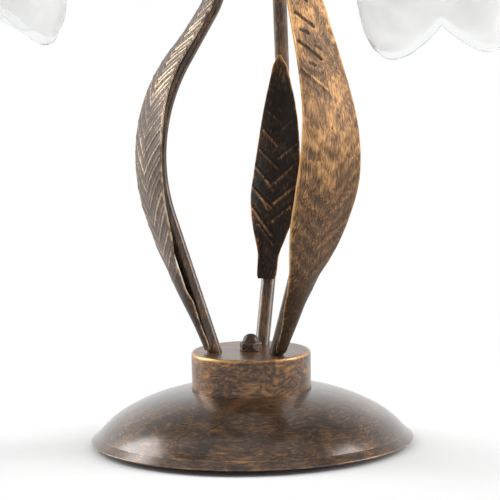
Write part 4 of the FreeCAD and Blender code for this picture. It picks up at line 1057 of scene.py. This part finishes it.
def make_shade(arm, matrix):
    """Blown tulip of four petals, hollow, with a rounded lip and a hole at the top."""
    ceiling = SHADE_HEIGHT - SHADE_TOP_THICK
    near_lip = np.linspace(0, LIP_ZONE, LIP_ROWS)[1:]

    def wall(angle, knots, low, high):
        first = low + near_lip
        rest = np.linspace(first[-1], high, WALL_ROWS)[1:]
        heights = np.concatenate([first, rest])
        return np.stack([lobed_radius(angle, heights, knots), heights, 0 * heights], axis=1)

    def profile_at(angle):
        low = lip_height(angle)
        outer = wall(angle, OUTER_KNOTS, low, SHADE_HEIGHT - NECK_EASE)
        inner = wall(angle, INNER_KNOTS, low, ceiling - NECK_EASE)
        lip_place = np.array([low + SHADE_WALL / 2])
        outside = float(lobed_radius(angle, lip_place, OUTER_KNOTS)[0])
        inside = float(lobed_radius(angle, lip_place, INNER_KNOTS)[0])
        middle, half = (outside + inside) / 2, (outside - inside) / 2
        turns = [pi * step / LIP_STEPS for step in range(LIP_STEPS + 1)]
        lip = [(middle - half * cos(turn), low + SHADE_WALL / 2 * (1 - sin(turn)), 0)
               for turn in turns]
        top = [(SHADE_NECK - NECK_BEVEL, SHADE_HEIGHT - NECK_BEVEL, 0),
               (SHADE_NECK - NECK_ROUND, SHADE_HEIGHT, 0),
               (SHADE_HOLE + EASED, SHADE_HEIGHT, 0), (SHADE_HOLE, SHADE_HEIGHT - EASED, 0),
               (SHADE_HOLE, ceiling + EASED, 0), (SHADE_HOLE + EASED, ceiling, 0),
               (SHADE_NECK - SHADE_WALL - NECK_ROUND, ceiling, 0)]
        return np.concatenate([lip, outer, top, inner[::-1]])

    def lip_distances(grid):
        lip = grid[:, LIP_STEPS // 2]
        flat = grid.reshape(-1, 3)
        nearest = np.full(len(flat), np.inf)
        for point in lip:
            nearest = np.minimum(nearest, np.linalg.norm(flat - point, axis=1))
        return {"lip_distance": nearest}

    turn = Matrix.Rotation(radians(BENDS[arm]["turn"]), 4, "Z")
    turned("shade_glass_" + arm, profile_at, "frosted_glass", "shade_" + arm,
           matrix @ turn, steps=PETALS * PETAL_STEPS, extra=lip_distances)


def make_ring(arm, matrix):
    """Ring under the glass, scalloped for the fingers below its plain upper edge."""
    low = SHADE_HEIGHT - SHADE_TOP_THICK - RING_GAP - RING_HEIGHT
    high = low + RING_HEIGHT
    grip_top = low + RING_GRIP_HEIGHT
    levels = [(low + BROKEN, 0), (low + 1.4 * MM, 0), (grip_top - BROKEN, 0), (grip_top, 0.5),
              (grip_top + BROKEN, 1), (high - SOFT, 1)]

    def profile_at(angle):
        pitch = 2 * pi / RING_GRIPS
        off = (angle + pitch / 2) % pitch - pitch / 2
        chord = abs(sin(off)) * RING_RADIUS
        dent = sqrt(max(RING_GRIP_RADIUS ** 2 - chord ** 2, 0))
        rows = [(RING_BORE + EASED, low, 0), (RING_RADIUS - dent - BROKEN, low, 0)]
        rows += [(RING_RADIUS - dent * (1 - share), height, 0) for height, share in levels]
        rows += [(RING_RADIUS - BROKEN, high, 0), (RING_BORE + EASED, high, 0), (RING_BORE, high - EASED, 0),
                 (RING_BORE, low + EASED, 0)]
        return rows

    turned("ring_piece_" + arm, profile_at, "ring_plastic", "shade_ring_" + arm, matrix,
           steps=RING_GRIPS * GRIP_STEPS, body="ring_" + arm)


def make_holder(arm, matrix):
    """Lampholder: flange, tapered top, bore for the bulb's cap and socket for the tube."""
    bore_top = HOLDER_LOW + HOLDER_BORE_DEPTH
    socket_low = HOLDER_HIGH - TUBE_SOCKET_DEPTH
    flange_top = SHADE_HEIGHT + HOLDER_FLANGE_THICK
    corners = [
        (0, bore_top, 0), (HOLDER_BORE, bore_top, 0), (HOLDER_BORE, HOLDER_LOW, BROKEN),
        (HOLDER_RADIUS, HOLDER_LOW, 0.8 * MM), (HOLDER_RADIUS, SHADE_HEIGHT, 0),
        (HOLDER_FLANGE, SHADE_HEIGHT, EASED), (HOLDER_FLANGE, flange_top, SOFT),
        (HOLDER_RADIUS, flange_top, BROKEN), (HOLDER_RADIUS, HOLDER_HIGH - HOLDER_TAPER_LENGTH, 1 * MM),
        (HOLDER_RADIUS - HOLDER_TAPER, HOLDER_HIGH, 0.6 * MM), (ROD_HOLE, HOLDER_HIGH, EASED),
        (ROD_HOLE, socket_low, 0), (0, socket_low, 0),
    ]
    lathe("holder_piece_" + arm, corners, "holder_plastic", "lampholder_" + arm, matrix, steps=96)


def make_cup(arm, matrix):
    """Spun cup over the lampholder and the collar nut on top of it."""
    skirt = SHADE_HEIGHT + CUP_SKIRT
    outside = [(CUP_RADIUS, SHADE_HEIGHT, EASED), (CUP_RADIUS, skirt, 0)]
    outside += arc_run((CUP_RADIUS, skirt), (CUP_TOP_RADIUS, CUP_TOP), CUP_CURVE, 24)
    outside += [(CUP_TOP_RADIUS, CUP_TOP, SOFT), (ROD_HOLE, CUP_TOP, 0)]
    inner_top = CUP_TOP - CUP_WALL
    inner_skirt = (CUP_RADIUS - CUP_WALL, skirt)
    inner_shoulder = (CUP_TOP_RADIUS - CUP_WALL / 2, inner_top)
    inside = [(ROD_HOLE, inner_top, 0), (*inner_shoulder, 0)]
    inside += arc_run(inner_shoulder, inner_skirt, CUP_CURVE, 16, -1)
    inside += [(*inner_skirt, 0), (CUP_RADIUS - CUP_WALL, SHADE_HEIGHT, CRISP)]
    lathe("cup_piece_" + arm, outside + inside, "cup_bronze", "socket_cup_" + arm, matrix)
    low, middle, high = (CUP_TOP + COLLAR_HEIGHT * share for share in COLLAR_GROOVE)
    collar = [(ROD_HOLE, CUP_TOP, 0), (COLLAR_RADIUS, CUP_TOP, EASED), (COLLAR_RADIUS, low, CRISP),
              (COLLAR_RADIUS - BROKEN, middle, CRISP), (COLLAR_RADIUS, high, CRISP),
              (COLLAR_RADIUS, CUP_TOP + COLLAR_HEIGHT, 1 * MM), (ROD_HOLE, CUP_TOP + COLLAR_HEIGHT, EASED)]
    lathe("collar_piece_" + arm, collar, "cup_bronze", "cup_collar_" + arm, matrix, steps=96)


def make_bulb(arm, matrix):
    """Round opal globe with a smooth neck into its cap."""
    shoulder = radians(GLOBE_SHOULDER)
    turning = [(0, GLOBE_CENTRE - GLOBE_RADIUS, 0)]
    for step in range(1, GLOBE_ROWS + 1):
        angle = (pi - shoulder) * step / GLOBE_ROWS
        turning.append((GLOBE_RADIUS * sin(angle), GLOBE_CENTRE - GLOBE_RADIUS * cos(angle), 0))
    turning += [(GLOBE_NECK + GLOBE_FLARE, CAP_LOW - GLOBE_NECK_LENGTH - GLOBE_FLARE_DROP, 0),
                (GLOBE_NECK + EASED, CAP_LOW - GLOBE_NECK_LENGTH, 0), (GLOBE_NECK, CAP_LOW - 2 * MM, 0),
                (GLOBE_NECK, CAP_LOW - EASED, 0), (GLOBE_NECK - EASED, CAP_LOW, 0), (0, CAP_LOW, 0)]
    turned("globe_piece_" + arm, lambda angle: turning, "bulb_glass", "bulb_globe_" + arm, matrix,
           steps=96, body="bulb_" + arm)


# ---- carried-over nodes

def finish_nodes():
    """Give every CAD node the material of its slot."""
    for subpart in frame["record"]["subparts"]:
        mesh = frame["nodes"][subpart["node"]].data
        mesh.materials.clear()
        mesh.materials.append(MATERIALS[subpart["material_slot"]])


# ---- floor, light and camera

FLOOR_SIZE = 30
SHADOW_REACH = 0.15
SHADOW_FADE = 0.42
STRAIGHT = ("Is Camera Ray", "Is Transmission Ray")
GLOSSY = ("Is Glossy Ray",)
# Heights of a direction, as the sine of its elevation, between which the studio gets dimmer.
WALL_TOP = 0.35
CEILING_EDGE = 0.75
CEILING_LEVEL = 0.25
WORLD_LEVEL = 0.4
LAMP_HEIGHT = 0.2
# Soft boxes: place, width, height and power in watts.
SOFT_BOXES = {
    "box_left": ((-1.7, 0.1, 0.9), 0.9, 1.6, 27),
    "box_right": ((1.6, 0.5, 0.9), 0.9, 1.6, 27),
    "box_top": ((0, -0.3, 2.2), 1.6, 1.6, 4),
}


def make_floor():
    """Pale floor that shows as plain white, and keeps the lamp's shadow near it."""
    paint = Paint("studio_floor")
    paint.tree.nodes.remove(paint.shader)
    reach = paint.node("VectorMath", {0: paint.object_place()}, operation="LENGTH").outputs["Value"]
    far = paint.mapped(reach, SHADOW_REACH, SHADOW_FADE, 0, 1, "SMOOTHSTEP")
    shown = paint.node("BsdfDiffuse", {"Color": (1, 1, 1, 1)}).outputs["BSDF"]
    white = paint.node("Emission", {"Color": (1, 1, 1, 1), "Strength": 1}).outputs["Emission"]
    plain = paint.node("MixShader", {0: far, 1: shown, 2: white}).outputs["Shader"]
    bounce = paint.node("BsdfDiffuse", {"Color": (0.8, 0.8, 0.8, 1)}).outputs["BSDF"]
    both = paint.node("MixShader", {0: paint.rays(STRAIGHT + GLOSSY), 1: bounce, 2: plain}).outputs["Shader"]
    paint.feed(paint.tree.nodes["Material Output"].inputs["Surface"], both)
    mesh = bpy.data.meshes.new("studio_floor")
    half = FLOOR_SIZE / 2
    corners = [(-half, -half, 0), (half, -half, 0), (half, half, 0), (-half, half, 0)]
    mesh.from_pydata(corners, [], [(0, 1, 2, 3)])
    mesh.materials.append(paint.material)
    add_object("studio_floor", mesh)


def make_world():
    """White background that gloss shows too, dimmer overhead, and a plain level for the rest."""
    world = bpy.data.worlds.new("studio")
    world.use_nodes = True
    sky = NodeTree(world.node_tree)
    place = sky.node("TexCoord").outputs["Generated"]
    height = sky.node("SeparateXYZ", {"Vector": place}).outputs["Z"]
    glossy = sky.mapped(height, WALL_TOP, CEILING_EDGE, 1, CEILING_LEVEL)
    level = sky.mapped(sky.rays(GLOSSY), 0, 1, WORLD_LEVEL, glossy)
    background = sky.tree.nodes["Background"].inputs
    sky.feed(background["Color"], (1, 1, 1, 1))
    sky.feed(background["Strength"], sky.maths("MAXIMUM", sky.rays(STRAIGHT), level))
    bpy.context.scene.world = world


def make_lights():
    for name, (place, width, height, power) in SOFT_BOXES.items():
        light = bpy.data.lights.new(name, "AREA")
        light.shape = "RECTANGLE"
        light.size = width
        light.size_y = height
        light.energy = power
        lamp = add_object(name, light)
        lamp.location = place
        aim = Vector((0, 0, LAMP_HEIGHT)) - lamp.location
        lamp.rotation_euler = aim.to_track_quat("-Z", "Y").to_euler()


CAMERA_AIM = Vector((0, 0, 0.137))
CAMERA_DISTANCE = 2.407
CAMERA_AZIMUTH = 18
CAMERA_ELEVATION = 8.2
CAMERA_ROLL = 1
FOCAL_SHARE = 6.936
SENSOR = 36
MIDDLE_SHIFT = 0.0016


def make_camera():
    """Camera at the photograph's angle; azimuth and elevation are degrees round the aim."""
    azimuth = radians(CAMERA_AZIMUTH)
    elevation = radians(CAMERA_ELEVATION)
    away = Vector((sin(azimuth) * cos(elevation), -cos(azimuth) * cos(elevation),
                   sin(elevation)))
    data = bpy.data.cameras.new("camera")
    data.sensor_width = SENSOR
    data.lens = FOCAL_SHARE * SENSOR
    data.shift_x = MIDDLE_SHIFT
    data.clip_end = FLOOR_SIZE * 2
    camera = add_object("camera", data)
    turn = away.to_track_quat("Z", "Y").to_matrix().to_4x4()
    roll = Matrix.Rotation(-radians(CAMERA_ROLL), 4, "Z")
    camera.matrix_world = Matrix.Translation(CAMERA_AIM + away * CAMERA_DISTANCE) @ turn @ roll
    bpy.context.scene.camera = camera


# ---- build

make_dish()
make_drum()
make_cap_nut()
for arm in ARMS:
    make_tube(arm)
    make_leaf(arm)
    head = head_matrix(arm)
    make_shade(arm, head)
    make_ring(arm, head)
    make_holder(arm, head)
    make_cup(arm, head)
    make_bulb(arm, head)
finish_nodes()
make_floor()
make_world()
make_lights()
make_camera()
bpy.context.scene.view_settings.view_transform = "Standard"
